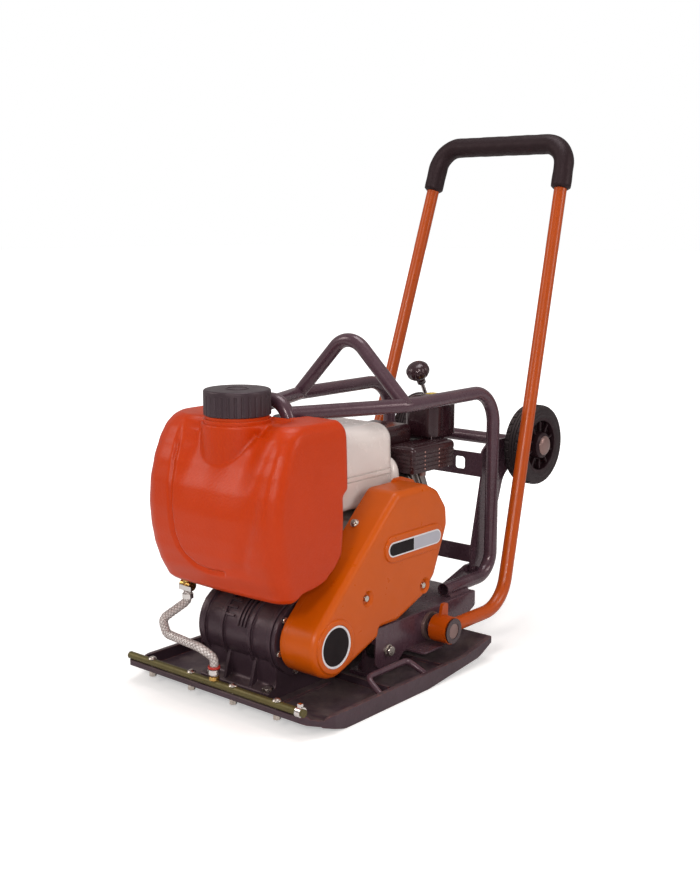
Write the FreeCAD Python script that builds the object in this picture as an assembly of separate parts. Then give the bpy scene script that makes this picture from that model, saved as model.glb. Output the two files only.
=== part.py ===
# Plate compactor, built as separate pieces with one STEP file for each.
# Millimetres. +Z is up, the front faces -Y, the belt guard is on the +X (left) side.
# The origin is the centre of the base plate's footprint, on its flat sole.
import FreeCAD, Part
import math, os

Vector = FreeCAD.Vector
X_DIR, Y_DIR, Z_DIR = Vector(1, 0, 0), Vector(0, 1, 0), Vector(0, 0, 1)
os.makedirs("parts", exist_ok=True)

# ---------------------------------------------------------------- driving dimensions
# Axes that run along X are given as (y, z).
EXCITER = EXC_Y, EXC_Z = -125.0, 110.0      # exciter shaft
CRANK = CR_Y, CR_Z = 108.0, 231.5           # engine crankshaft
PIVOT = PIV_Y, PIV_Z = 153.0, 75.0          # handle pivot
BRACKET_PIVOT = (355.0, 128.0)              # wheel bracket pivot
AXLE = AXLE_Y, AXLE_Z = 511.0, 361.0        # wheel axle, stowed

PLATE_HALF_W = 225.0
FLOOR_T = 10.0                  # sole thickness
DECK_HALF_W, DECK_T = 151.0, 3.0
DECK_Z = 107.0                  # deck's upper face
DECK_Y0, DECK_Y1 = -3.0, 298.0
ENGINE_Z = 125.0                # underside of the engine
TUBE_R, TUBE_WALL = 12.7, 2.3   # frame and handle tubes
GUARD_X0, GUARD_X1 = 102.0, 165.0
BELT_X = 129.0                  # mid-plane of belt, clutch and pulley
RUN = 0.05                      # radial running clearance


# ---------------------------------------------------------------- plain shapes
def box(x0, x1, y0, y1, z0, z1):
    return Part.makeBox(x1 - x0, y1 - y0, z1 - z0, Vector(x0, y0, z0))


def xcyl(x0, x1, axis, radius):
    """Cylinder along X about axis (y, z)."""
    return Part.makeCylinder(radius, x1 - x0, Vector(x0, *axis), X_DIR)


def ycyl(x, y0, y1, z, radius):
    return Part.makeCylinder(radius, y1 - y0, Vector(x, y0, z), Y_DIR)


def zcyl(x, y, z0, z1, radius):
    return Part.makeCylinder(radius, z1 - z0, Vector(x, y, z0), Z_DIR)


def ring(x0, x1, axis, outer, inner):
    return xcyl(x0, x1, axis, outer).cut(xcyl(x0 - 1, x1 + 1, axis, inner))


def polygon_face(points):
    return Part.Face(Part.makePolygon(points + [points[0]]))


def around(centre, radius, degrees):
    """Point on a circle, in the two coordinates of centre."""
    angle = math.radians(degrees)
    return (centre[0] + radius * math.cos(angle), centre[1] + radius * math.sin(angle))


# ---------------------------------------------------------------- wires, prisms and rods
def unit(vector):
    result = Vector(vector)
    result.normalize()
    return result


def rounded(points, radii, closed):
    """Wire of straight runs with a tangent arc at each corner; one radius or one per point."""
    corners = [Vector(*point) for point in points]
    count = len(corners)
    if not isinstance(radii, (list, tuple)):
        radii = [radii] * count
    turns = []                  # (arc start, arc end, arc middle or None)
    for i, corner in enumerate(corners):
        if not closed and i in (0, count - 1):
            turns.append((corner, corner, None))
            continue
        before, after = corners[i - 1], corners[(i + 1) % count]
        back, ahead = unit(before - corner), unit(after - corner)
        angle = math.acos(max(-1, min(1, back.dot(ahead))))
        radius = radii[i]
        if radius <= 0.01 or abs(math.pi - angle) < 1e-3:
            turns.append((corner, corner, None))
            continue
        # an arc may use at most just under half of either neighbouring run
        setback = min(radius / math.tan(angle / 2),
                      (before - corner).Length * 0.49, (after - corner).Length * 0.49)
        radius = setback * math.tan(angle / 2)
        centre = corner + unit(back + ahead) * (radius / math.sin(angle / 2))
        middle = centre + unit(corner - centre) * radius
        turns.append((corner + back * setback, corner + ahead * setback, middle))
    edges = []
    for i, (start, end, middle) in enumerate(turns):
        if middle is not None:
            edges.append(Part.Arc(start, middle, end).toShape())
        if closed or i < count - 1:
            following = turns[(i + 1) % count][0]
            if (following - end).Length > 1e-4:
                edges.append(Part.makeLine(end, following))
    return Part.Wire(edges)


def lift(point, axis, height):
    """Place a 2D point on the plane at height along axis."""
    if axis == 'x':
        return (height, point[0], point[1])
    if axis == 'y':
        return (point[0], height, point[1])
    return (point[0], point[1], height)


def flat_wire(points, radii, axis, height):
    return rounded([lift(point, axis, height) for point in points], radii, True)


def outward(solid):
    return solid if solid.Volume > 0 else solid.reversed()


def prism(points, radii, axis, start, end):
    """Rounded outline, in the two coordinates other than axis, extruded along axis."""
    travel = Vector(*lift((0, 0), axis, end - start))
    return outward(Part.Face(flat_wire(points, radii, axis, start)).extrude(travel))


def rod(points, radii, radius):
    start = Vector(*points[0])
    section = Part.Wire([Part.makeCircle(radius, start, Vector(*points[1]) - start)])
    swept = rounded(points, radii, False).makePipeShell([section], True, False)
    return outward(Part.Solid(swept) if swept.ShapeType != 'Solid' else swept)


def tube(points, radii, radius, wall):
    return rod(points, radii, radius).cut(rod(points, radii, radius - wall))


# ---------------------------------------------------------------- operations
def mirrored(shape):
    """Mirror image across the machine's centre plane, x = 0."""
    return shape.mirror(Vector(0, 0, 0), X_DIR)


def both_sides(shape):
    return [shape, mirrored(shape)]


def fuse(shape, *others):
    for other in others:
        shape = shape.fuse(other)
    return shape.removeSplitter()


def cut(shape, *tools):
    for tool in tools:
        shape = shape.cut(tool)
    return shape


def largest(shape):
    return max(shape.Solids, key=lambda solid: solid.Volume)


def soft(shape, radius, pick):
    """Round the edges that pick() accepts."""
    edges = [edge for edge in shape.Edges if pick(edge)]
    for factor in (1.0, 0.7, 0.4):
        # guards against a radius too large for the shape: a smaller one is tried next
        try:
            result = shape.makeFillet(radius * factor, edges)
            if result.isValid() and result.Volume > 0:
                return result
        except Exception:
            pass
    return shape


def every(edge):
    return True


def vertical(edge):
    return abs(edge.tangentAt(edge.FirstParameter).z) > 0.999


def above(z):
    return lambda edge: edge.CenterOfMass.z > z


def at(axis, value):
    """Picks edges centred on the plane axis = value."""
    return lambda edge: abs(getattr(edge.CenterOfMass, axis) - value) < 0.01


def save(name, *shapes):
    solids = [solid for shape in shapes for solid in shape.Solids]
    result = solids[0] if len(solids) == 1 else Part.makeCompound(solids)
    result.exportStep("parts/%s.step" % name)


# ---------------------------------------------------------------- fasteners
def hex_head(base, direction, flats, height):
    """Chamfered hexagonal prism standing on base along direction."""
    corner = flats / 2 / math.cos(math.pi / 6)
    outline = [Vector(*around((0, 0), corner, 60 * i), 0) for i in range(6)]
    chamfer = Part.makeCone(corner + height * 0.55, corner * 0.86, height,
                            Vector(0, 0, 0), Z_DIR)
    head = polygon_face(outline).extrude(Vector(0, 0, height)).common(chamfer)
    turn = FreeCAD.Rotation(Z_DIR, direction)
    head.Placement = FreeCAD.Placement(Vector(*base), turn)
    return head


def shank(base, direction, radius, length):
    return Part.makeCylinder(radius, length, Vector(*base) - direction * length, direction)


def hex_bolt(base, direction, radius, flats, head_h, length):
    """Bolt with its head's bearing face at base, head along direction, shank the other way."""
    return fuse(hex_head(base, direction, flats, head_h),
                shank(base, direction, radius, length))


def dome_bolt(base, direction, radius, head_r, head_h, length):
    foot = Vector(*base)
    sphere_r = (head_r * head_r + head_h * head_h) / (2 * head_h)
    head = Part.makeSphere(sphere_r, foot + direction * (head_h - sphere_r))
    head = head.common(Part.makeCylinder(head_r, head_h, foot, direction))
    return fuse(head, shank(base, direction, radius, length))


# ================================================================ BASE PLATE
RIM_T = 8.0
PAD_TOP = 14.0                  # exciter seat
SPRAY = SPRAY_Y, SPRAY_Z = -250.0, 45.5     # spray bar axis
SPRAY_BOLTS_X = (-149, -50, 50, 149)
EX_BOLT_R = 5.0
EX_BOLTS = [(side * 66, EXC_Y + dy) for side in (1, -1) for dy in (-61, 61)]

# Side outlines (y, z) of the sole and of the side rim
FLOOR_SIDE = [(-257, 30), (-245, 24), (-171, 0), (54, 0), (206, 16), (254, 38), (251, 45),
              (203, 26), (54, FLOOR_T), (-170, FLOOR_T), (-240, 33), (-243, 39), (-257, 39)]
FLOOR_RADII = [3, 25, 60, 90, 60, 2, 2, 50, 80, 50, 12, 4, 3]
RIM_SIDE = [(-222, 15), (-171, 0), (54, 0), (206, 16), (250, 36), (250, 44), (231, 43),
            (163, 30), (-205, 30), (-216, 24)]
RIM_RADII = [4, 60, 90, 60, 4, 5, 20, 30, 10, 4]
# Plan outline (x, y)
PLATE_PLAN = [(-225, -196), (-205, -257), (205, -257), (225, -196),
              (225, 246), (216, 256), (-216, 256), (-225, 246)]


def base_plate():
    plan = prism(PLATE_PLAN, [14, 10, 10, 14, 6, 6, 6, 6], 'z', -5, 80)
    floor = prism(FLOOR_SIDE, FLOOR_RADII, 'x', -PLATE_HALF_W, PLATE_HALF_W).common(plan)
    rim = prism(RIM_SIDE, RIM_RADII, 'x', PLATE_HALF_W - RIM_T, PLATE_HALF_W).common(plan)
    pad = soft(box(-94, 94, -198, -52, FLOOR_T - 1, PAD_TOP), 8, vertical)
    body = fuse(floor, rim, mirrored(rim), pad)
    for x, y in EX_BOLTS:
        body = body.cut(zcyl(x, y, 3.5, 40, EX_BOLT_R))
    for x in SPRAY_BOLTS_X:
        body = body.cut(zcyl(x, SPRAY_Y, 20, 60, 3.0))
    # ribs across the sole, behind the exciter
    return fuse(body, *[box(-200, 200, y, y + 6, FLOOR_T - 1, 22) for y in (-30, 118)])


plate = base_plate()
save("base_plate", plate)

# Bent-rod loops on the rims
loop = rod([(219, -68, 20), (181, -63, 44), (181, 47, 44), (219, 60, 20)], [0, 13, 13, 0], 5.5)
save("carry_loops", *[half.cut(plate) for half in both_sides(loop)])

# ---------------------------------------------------------------- rubber mounts
MOUNTS = {31.0: 17, 222.0: 33}  # y of the mount: top of its pedestal's foot
MOUNT_Z, MOUNT_R, MOUNT_BOLT_R = 60.0, 21.0, 5.0
MOUNT_X0, MOUNT_X1 = 118.0, DECK_HALF_W - DECK_T


def pedestal(y, foot_top):
    upright = prism([(y - 26, 5), (y + 26, 5), (y + 22, 84), (y - 22, 84)], [0, 0, 14, 14],
                    'x', MOUNT_X0 - 6, MOUNT_X0)
    foot = box(MOUNT_X0 - 34, MOUNT_X0, y - 26, y + 26, 5, foot_top)
    gusset = prism([(MOUNT_X0 - 34, 16), (MOUNT_X0 - 4, 16), (MOUNT_X0 - 4, 62)], [0, 0, 0],
                   'y', y - 3, y + 3)
    below_sole = box(-300, 300, -300, 300, -60, 0)
    return largest(cut(fuse(upright, foot, gusset),
                       xcyl(MOUNT_X0 - 20, MOUNT_X0 + 5, (y, MOUNT_Z), MOUNT_BOLT_R),
                       plate, below_sole))


def rubber_mount(y):
    axis = (y, MOUNT_Z)
    body = fuse(xcyl(MOUNT_X0, MOUNT_X1, axis, MOUNT_R - 3),
                xcyl(MOUNT_X0, MOUNT_X0 + 5, axis, MOUNT_R),
                xcyl(MOUNT_X1 - 5, MOUNT_X1, axis, MOUNT_R))
    return body.cut(xcyl(MOUNT_X0 - 1, MOUNT_X1 + 1, axis, MOUNT_BOLT_R))


pedestals, rubbers = [], []
for y, foot_top in MOUNTS.items():
    pedestals += both_sides(pedestal(y, foot_top))
    rubbers += both_sides(rubber_mount(y))
save("mount_pedestals", *pedestals)
save("rubber_mounts", *rubbers)

# ---------------------------------------------------------------- spray bar, front lip
SPRAY_R = 6.5
SPRAY_BOLT_R = 3.0
BARB_X = 6                      # hose inlet


def spray_bar():
    bar = xcyl(-208, 208, SPRAY, SPRAY_R).cut(xcyl(-204, 204, SPRAY, 4.5))
    for x in SPRAY_BOLTS_X:
        bar = bar.cut(zcyl(x, SPRAY_Y, 20, 70, SPRAY_BOLT_R))
    bar = bar.cut(zcyl(BARB_X, SPRAY_Y, SPRAY_Z, 60, 4.0))
    for i in range(14):         # spray holes, facing forward and down
        start = Vector(-195 + i * 30, SPRAY_Y, SPRAY_Z)
        bar = bar.cut(Part.makeCylinder(0.9, 12, start, Vector(0, -0.8, -0.6)))
    return bar.cut(plate)


def spray_nut(x):
    nut = hex_head((x, SPRAY_Y, 21), Z_DIR, 11, 9.5)
    return largest(cut(nut, zcyl(x, SPRAY_Y, 0, 60, SPRAY_BOLT_R), plate))


def hose_barb():
    cones = [Part.makeCone(5.6, 4.6, 4, Vector(BARB_X, SPRAY_Y, z), Z_DIR) for z in (60, 66)]
    body = fuse(zcyl(BARB_X, SPRAY_Y, 52, 58, 9), zcyl(BARB_X, SPRAY_Y, 58, 78, 5.0), *cones)
    body = fuse(body, zcyl(BARB_X, SPRAY_Y, 49.5, 52.1, 4.0))
    return largest(cut(body, zcyl(BARB_X, SPRAY_Y, 45, 80, 3.0), spray))


def bar_clamp():
    """Clamp over the bar's +X end, with an upright tab."""
    band = ring(194, 205, SPRAY, 9.0, SPRAY_R)
    band = band.common(box(190, 210, -275, -225, SPRAY_Z - 5.5, 80))
    tab = box(196, 203, SPRAY_Y - 3, SPRAY_Y + 3, SPRAY_Z + 7.5, SPRAY_Z + 14)
    return largest(fuse(band, tab))


spray = spray_bar()
save("spray_bar", spray)
spray_bolts = [dome_bolt((x, SPRAY_Y, SPRAY_Z + SPRAY_R), Z_DIR, SPRAY_BOLT_R, 7.5, 4.5, 31)
               for x in SPRAY_BOLTS_X]
save("spray_fasteners", *spray_bolts, *[spray_nut(x) for x in SPRAY_BOLTS_X])
barb = hose_barb()
save("hose_barb", barb)

# ================================================================ EXCITER
EX_X0, EX_X1 = -87.0, 78.0      # barrel ends
EX_R, EX_BORE = 62.0, 50
EX_FOOT_TOP = 27
EX_BEARING_R, EX_SHAFT_R, EX_NOSE_R = 31, 15, 12
COVER_T = 8
COVER_BOLT_R = 3.0
COVER_BOLTS = [around(EXCITER, 56, angle) for angle in range(15, 375, 60)]
# Side outline (y, z) of the pedestal under the barrel
EX_FOOT_SIDE = [(-196, PAD_TOP), (-54, PAD_TOP), (-54, EX_FOOT_TOP), (-74, 34),
                (-74, 100), (-176, 100), (-176, 34), (-196, EX_FOOT_TOP)]


def shoulder_fin(x):
    front = box(x - 1, x + 5, -196, EXC_Y - 22, EXC_Z + 18, EXC_Z + 80)
    return ring(x, x + 3.5, EXCITER, EX_R + 5, EX_R - 3).common(front)


def shoulder_lug(i):
    lug = box(-34, -14, EXC_Y - 2, EXC_Y + 2, EXC_Z + EX_R - 4, EXC_Z + EX_R + 4.5)
    lug.rotate(Vector(0, *EXCITER), X_DIR, 22 + 13 * i)
    return lug


def exciter_housing():
    foot = prism(EX_FOOT_SIDE, [3, 3, 4, 8, 0, 0, 8, 4], 'x', -86, 77)
    bands = [xcyl(x, x + 7, EXCITER, EX_R + 4.5) for x in (-86, -42, 24, 70)]
    spine = prism([(EXC_Y - 12, EXC_Z + 50), (EXC_Y + 12, EXC_Z + 50),
                   (EXC_Y + 9, EXC_Z + 68), (EXC_Y - 9, EXC_Z + 68)], [0, 0, 3, 3],
                  'x', -80, 71)
    top_boss = zcyl(-5, EXC_Y, EXC_Z + 40, EXC_Z + 72, 13)
    gussets = [prism([(-175, 26), (-193, 26), (-175, 84)], [0, 0, 0], 'x', x, x + 6)
               for x in (-34, 28)]
    body = fuse(xcyl(EX_X0, EX_X1, EXCITER, EX_R), foot, *bands)
    body = fuse(body, spine, top_boss)
    body = fuse(body, *[shoulder_fin(x) for x in (-2, 6, 14)],
                *[shoulder_lug(i) for i in range(4)], *gussets)
    body = body.cut(xcyl(EX_X0 - 2, EX_X1 + 2, EXCITER, EX_BORE))
    for x, y in EX_BOLTS:       # clearance hole and room for the head
        body = cut(body, zcyl(x, y, 10, 60, EX_BOLT_R + 0.5),
                   zcyl(x, y, EX_FOOT_TOP, 60, 10.5))
    body = body.cut(plate)
    body = body.cut(box(-52, 52, -198, -50, 10, 22).cut(box(-52, 52, -180, -70, 10, 22)))
    for axis in COVER_BOLTS:
        body = cut(body, xcyl(EX_X0 - 1, EX_X0 + 16, axis, COVER_BOLT_R),
                   xcyl(EX_X1 - 16, EX_X1 + 1, axis, COVER_BOLT_R))
    return largest(body)


def exciter_cover(face_x, side, shaft_hole):
    """End cover on face_x; side is +1 or -1 outwards. Without a shaft hole it has a cap."""
    def disc(near, far, radius):
        x0, x1 = sorted((face_x + side * near, face_x + side * far))
        return xcyl(x0, x1, EXCITER, radius)

    body = disc(0, COVER_T, EX_R + 2).fuse(disc(0, -22, EX_BORE))
    if not shaft_hole:
        body = body.fuse(disc(COVER_T, 13, 30))
    body = body.cut(disc(0, -23, EX_BEARING_R))
    if shaft_hole:
        body = body.cut(xcyl(face_x - 30, face_x + 30, EXCITER, shaft_hole))
    for axis in COVER_BOLTS:
        body = body.cut(xcyl(face_x - 40, face_x + 40, axis, COVER_BOLT_R))
    return body.removeSplitter()


save("exciter_housing", exciter_housing())
save("exciter_covers", exciter_cover(EX_X1, 1, 17.0), exciter_cover(EX_X0, -1, 0))
save("exciter_bearings", *[ring(x, x + 19, EXCITER, EX_BEARING_R, EX_SHAFT_R + RUN)
                           for x in (EX_X1 - 20, EX_X0 + 1)])
exciter_bolts = [hex_bolt((x, y, EX_FOOT_TOP), Z_DIR, EX_BOLT_R, 17, 7, 23)
                 for x, y in EX_BOLTS]
for side, face_x in ((1, EX_X1), (-1, EX_X0)):
    exciter_bolts += [hex_bolt((face_x + side * COVER_T, y, z), Vector(side, 0, 0),
                               COVER_BOLT_R, 10, 4, 20) for y, z in COVER_BOLTS]
save("exciter_bolts", *exciter_bolts)
save("exciter_shaft", fuse(xcyl(EX_X0 + 2, EX_X1 + 10, EXCITER, EX_SHAFT_R),
                           xcyl(EX_X1 + 9, 146, EXCITER, EX_NOSE_R)))
# the upper part of the disc is cut away, so the weight hangs below the shaft
sector = xcyl(-52, 52, EXCITER, 45).cut(
    box(-60, 60, EXC_Y - 60, EXC_Y + 60, EXC_Z + 4, EXC_Z + 60))
save("eccentric_weight",
     fuse(sector, xcyl(-52, 52, EXCITER, 23)).cut(xcyl(-60, 60, EXCITER, EX_SHAFT_R)))

# ================================================================ BELT DRIVE
CLUTCH_R, PULLEY_R = 44.0, 40.0             # outer radii
BELT_TOP, BELT_BOT, BELT_H = 12.7, 7.4, 8.0  # widths at the outside and inside, thickness
CRANK_R, CRANK_NOSE_R = 12.7, 11
GROOVE_PLAY = 0.06              # gap between belt and groove wall
GROOVE_FLARE = 4                # how far the groove cutter runs on beyond the rim


def belt_groove(axis, outer):
    """Trapezoid groove ring, opening at radius outer."""
    y, z = axis
    slope = (BELT_TOP - BELT_BOT) / 2 / BELT_H
    depth = BELT_H + 1.0
    half_mouth = BELT_TOP / 2 + GROOVE_PLAY
    half_top = half_mouth + slope * GROOVE_FLARE
    half_bottom = half_mouth - slope * depth
    z_top, z_bottom = z + outer + GROOVE_FLARE, z + outer - depth
    section = polygon_face([Vector(BELT_X - half_top, y, z_top),
                            Vector(BELT_X + half_top, y, z_top),
                            Vector(BELT_X + half_bottom, y, z_bottom),
                            Vector(BELT_X - half_bottom, y, z_bottom)])
    return section.revolve(Vector(0, y, z), X_DIR, 360)


def pulley(axis, outer, x0, x1, bore):
    body = cut(xcyl(x0, x1, axis, outer), belt_groove(axis, outer),
               xcyl(x0 - 1, x1 + 1, axis, bore))
    hole_circle = (bore + outer - BELT_H) / 2 + 2
    for i in range(5):
        hole = around(axis, hole_circle, 72 * i + 18)
        body = body.cut(xcyl(x0 - 1, x1 + 1, hole, 3.4))
    return largest(body)


def belt_section(axis, outer, angle):
    """Belt cross-section where the belt meets its pulley at angle (radians)."""
    def point(half_width, radius):
        return Vector(BELT_X + half_width, axis[0] + radius * math.cos(angle),
                      axis[1] + radius * math.sin(angle))

    inner = outer - BELT_H
    return polygon_face([point(-BELT_TOP / 2, outer), point(BELT_TOP / 2, outer),
                         point(BELT_BOT / 2, inner), point(-BELT_BOT / 2, inner)])


def drive_belt():
    """Two arcs joined by two straight runs."""
    dy, dz = EXC_Y - CR_Y, EXC_Z - CR_Z
    heading = math.atan2(dz, dy)
    wrap = math.acos((CLUTCH_R - PULLEY_R) / math.hypot(dy, dz))
    angles = (heading + wrap, heading - wrap)
    runs = [belt_section(CRANK, CLUTCH_R, angles[0]).revolve(
                Vector(0, *CRANK), X_DIR, math.degrees(2 * math.pi - 2 * wrap)),
            belt_section(EXCITER, PULLEY_R, angles[1]).revolve(
                Vector(0, *EXCITER), X_DIR, math.degrees(2 * wrap))]
    for angle in angles:
        start = Vector(0, *around(CRANK, CLUTCH_R, math.degrees(angle)))
        end = Vector(0, *around(EXCITER, PULLEY_R, math.degrees(angle)))
        runs.append(belt_section(CRANK, CLUTCH_R, angle).extrude(end - start))
    return fuse(*runs)


def about_crank(shape, degrees):
    """Turn a shape drawn about the X axis, then carry it to the crankshaft."""
    shape.rotate(Vector(0, 0, 0), X_DIR, degrees)
    shape.translate(Vector(0, *CRANK))
    return shape


def flywheel():
    body = fuse(xcyl(-98, -84, CRANK, 63), xcyl(-100, -70, CRANK, 26))
    body = body.cut(xcyl(-120, -60, CRANK, CRANK_R))
    blades = 14
    for i in range(blades):
        body = body.fuse(about_crank(box(-110, -97.9, 38, 61, -1.5, 1.5), 360 / blades * i))
    return largest(body.removeSplitter())


save("exciter_pulley", pulley(EXCITER, PULLEY_R, BELT_X - 10, BELT_X + 10, EX_NOSE_R))
save("clutch_drum", pulley(CRANK, CLUTCH_R, BELT_X - 16, BELT_X + 10, CRANK_NOSE_R))
save("drive_belt", drive_belt())
# shaft, belt-side nose, two webs and the crankpin
save("crankshaft", fuse(xcyl(-104, 95, CRANK, CRANK_R), xcyl(94, 144, CRANK, CRANK_NOSE_R),
                        xcyl(-20, 0, CRANK, 30), xcyl(28, 48, CRANK, 30),
                        xcyl(-1, 29, (CR_Y + 14, CR_Z), 11)))
save("flywheel", flywheel())

# ================================================================ DECK
ENGINE_BOLTS = [(-50, 38), (78, 38), (-50, 158), (78, 158)]     # (x, y)
ENGINE_BOLT_R = 4.0
PIVOT_SPIGOT_R = 8.0
BRACKET_PIN_R = 6.0
# Side outlines (y, z) of the skirt and of the lug that carries the wheel bracket
SKIRT_SIDE = [(DECK_Y0, DECK_Z), (DECK_Y0, 33), (62, 33), (76, 45), (192, 45), (203, 46),
              (240, 46), (262, 62), (DECK_Y1, 78), (DECK_Y1, DECK_Z)]
LUG_SIDE = [(262, 106), (290, 106), (349, 118), (367, 118), (367, 138), (343, 138),
            (290, 122), (262, 114)]


def deck_plate():
    top = box(-DECK_HALF_W, DECK_HALF_W, DECK_Y0, DECK_Y1, DECK_Z - DECK_T, DECK_Z)
    skirt = prism(SKIRT_SIDE, [0, 14, 8, 6, 0, 0, 12, 16, 8, 0],
                  'x', DECK_HALF_W - DECK_T, DECK_HALF_W)
    front = box(-DECK_HALF_W, DECK_HALF_W, DECK_Y0, DECK_Y0 + 3, 78, DECK_Z)
    rear = box(-DECK_HALF_W, DECK_HALF_W, DECK_Y1 - 3, DECK_Y1, 82, DECK_Z)
    side_shelf = soft(box(DECK_HALF_W - 2, 190, 85, 150, 45, 48.5), 12,
                      lambda edge: vertical(edge) and edge.CenterOfMass.x > 180)
    lug = prism(LUG_SIDE, [0, 0, 20, 9.5, 9.5, 11, 20, 3], 'x', 94, 100)
    body = fuse(top, skirt, mirrored(skirt), front, rear)
    body = fuse(body, *both_sides(side_shelf), *both_sides(lug))
    for x, y in ENGINE_BOLTS:
        body = body.cut(zcyl(x, y, 90, 120, ENGINE_BOLT_R))
    for y in MOUNTS:
        body = body.cut(xcyl(-200, 200, (y, MOUNT_Z), MOUNT_BOLT_R))
    body = cut(body, xcyl(-120, 120, BRACKET_PIVOT, BRACKET_PIN_R + RUN),
               xcyl(-200, 200, PIVOT, PIVOT_SPIGOT_R))
    # belly opening below the engine
    body = body.cut(prism([(-30, 60), (50, 60), (50, 130), (-30, 130)], 12, 'z', 90, 120))

    def long_top_edge(edge):
        centre = edge.CenterOfMass
        return (abs(centre.z - DECK_Z) < 0.01 and abs(abs(centre.x) - DECK_HALF_W) < 0.01
                and edge.Length > 200)
    return soft(body, 2.0, long_top_edge)


save("deck_plate", deck_plate())

# ---------------------------------------------------------------- tube frame
TUBE_X = 128.0
TUBE_Z = DECK_Z + TUBE_R        # tube lying on the deck
SIDE_PATH = [(TUBE_X, 226, TUBE_Z), (TUBE_X, 382, TUBE_Z), (TUBE_X, 384, 483),
             (TUBE_X, 111, 483), (44, -106, 485)]
SIDE_BENDS = [0, 46, 66, 70, 0]
HOOP_HALF = [(47, 8.7, DECK_Z), (47, 8.7, 165), (47, -108, 250), (47, -108, 506)]
HOOP_PATH = HOOP_HALF + [(-x, y, z) for x, y, z in reversed(HOOP_HALF)]
HOOP_BENDS = [0, 40, 50, 36, 36, 50, 40, 0]

side_rod = rod(SIDE_PATH, SIDE_BENDS, TUBE_R)
weld = prism([(TUBE_X + 4, DECK_Z), (TUBE_X + 14, DECK_Z), (TUBE_X + 9, DECK_Z + 6)], 0,
             'y', 232, 292)
side_tube = fuse(tube(SIDE_PATH, SIDE_BENDS, TUBE_R, TUBE_WALL), largest(weld.cut(side_rod)))
side_tube = largest(side_tube.cut(rod(HOOP_PATH, HOOP_BENDS, TUBE_R)))
save("side_tube_left", side_tube)
save("side_tube_right", mirrored(side_tube))
save("front_hoop", tube(HOOP_PATH, HOOP_BENDS, TUBE_R, TUBE_WALL))
lifting_hoop = rod([(TUBE_X + 2, 108, 481), (0, 103, 610), (-TUBE_X - 2, 108, 481)],
                   [0, 46, 0], TUBE_R)
save("lifting_hoop", largest(cut(lifting_hoop, side_rod, mirrored(side_rod))))

# Bolts through the deck skirts into the rubber mounts, and up through the deck
WASHER_T = 2
frame_bolts = []
for y in MOUNTS:
    bolt = hex_bolt((DECK_HALF_W + WASHER_T, y, MOUNT_Z), X_DIR, MOUNT_BOLT_R, 17, 7, 20)
    washer = ring(DECK_HALF_W, DECK_HALF_W + WASHER_T, (y, MOUNT_Z), 11, 4.9)
    frame_bolts += both_sides(fuse(bolt, washer))
frame_bolts += [hex_bolt((x, y, DECK_Z - DECK_T), Vector(0, 0, -1), ENGINE_BOLT_R, 13, 5.3, 27)
                for x, y in ENGINE_BOLTS]
save("frame_bolts", *frame_bolts)

# Handle pivot stubs on the deck skirts, and the bushes that turn on them
STUB_R, BUSH_R = 14, 17.5
stub = fuse(xcyl(DECK_HALF_W, 157, PIVOT, 26), xcyl(156, 205, PIVOT, STUB_R),
            xcyl(DECK_HALF_W - 8, 152, PIVOT, PIVOT_SPIGOT_R))
save("pivot_stubs", *both_sides(stub))
bush = fuse(ring(164, 204, PIVOT, BUSH_R, STUB_R + RUN),
            ring(161, 164.5, PIVOT, 23, STUB_R + RUN),
            ring(203.5, 206, PIVOT, 23, STUB_R + RUN))
save("pivot_bushes", *both_sides(bush))

# ================================================================ ENGINE
CYLINDER_TILT = 25              # degrees the cylinder's rear end rises above +Y


def tilt(shape):
    shape = shape.copy()
    shape.rotate(Vector(0, *CRANK), X_DIR, CYLINDER_TILT)
    return shape


def cylinder_fin(i):
    y = CR_Y + 78 + 7.5 * i
    return tilt(soft(box(-42, 68, y, y + 3, CR_Z - 56, CR_Z + 56), 8,
                     lambda edge: abs(edge.Length - 3) < 0.01))


def engine_block():
    case = soft(box(-60, 92, 25, 168, ENGINE_Z, 290), 12, above(ENGINE_Z + 1))
    flange = soft(box(-72, 94, 22, 174, ENGINE_Z, ENGINE_Z + 9), 10, vertical)
    neck = tilt(box(-24, 50, CR_Y + 40, CR_Y + 132, CR_Z - 38, CR_Z + 38))
    body = fuse(case, flange, xcyl(88, 97, CRANK, 38), neck)
    body = fuse(body, *[cylinder_fin(i) for i in range(8)])
    body = cut(body, box(-50, 80, 40, 155, 140, 278),
               xcyl(-120, 120, CRANK, CRANK_R + RUN), xcyl(-51, 81, CRANK, 32))
    for x, y in ENGINE_BOLTS:
        body = body.cut(zcyl(x, y, 100, 134.5, ENGINE_BOLT_R))
    return largest(body.cut(tilt(ycyl(13, CR_Y + 30, CR_Y + 120, CR_Z, 28))))


def cylinder_head():
    fins = [box(-42, 68, CR_Y + dy, CR_Y + dy + 3, CR_Z - 56, CR_Z + 56) for dy in (144, 152)]
    rocker_cover = soft(box(-28, 54, CR_Y + 166, CR_Y + 186, CR_Z - 40, CR_Z + 42), 9, every)
    return tilt(fuse(box(-36, 62, CR_Y + 138.5, CR_Y + 166, CR_Z - 50, CR_Z + 50),
                     rocker_cover, *fins))


block = engine_block()
save("engine_block", block)
save("engine_spacers", *[zcyl(x, y, DECK_Z, ENGINE_Z, 13).cut(
    zcyl(x, y, 100, 130, ENGINE_BOLT_R)) for x, y in ENGINE_BOLTS])
head = cylinder_head()
save("cylinder_head", head)
plug_axis = (CR_Y + 152, CR_Z - 10)
plug = tilt(fuse(xcyl(72, 94, plug_axis, 8), xcyl(61, 73, plug_axis, 5)))
save("spark_plug", largest(plug.cut(head)))


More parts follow.
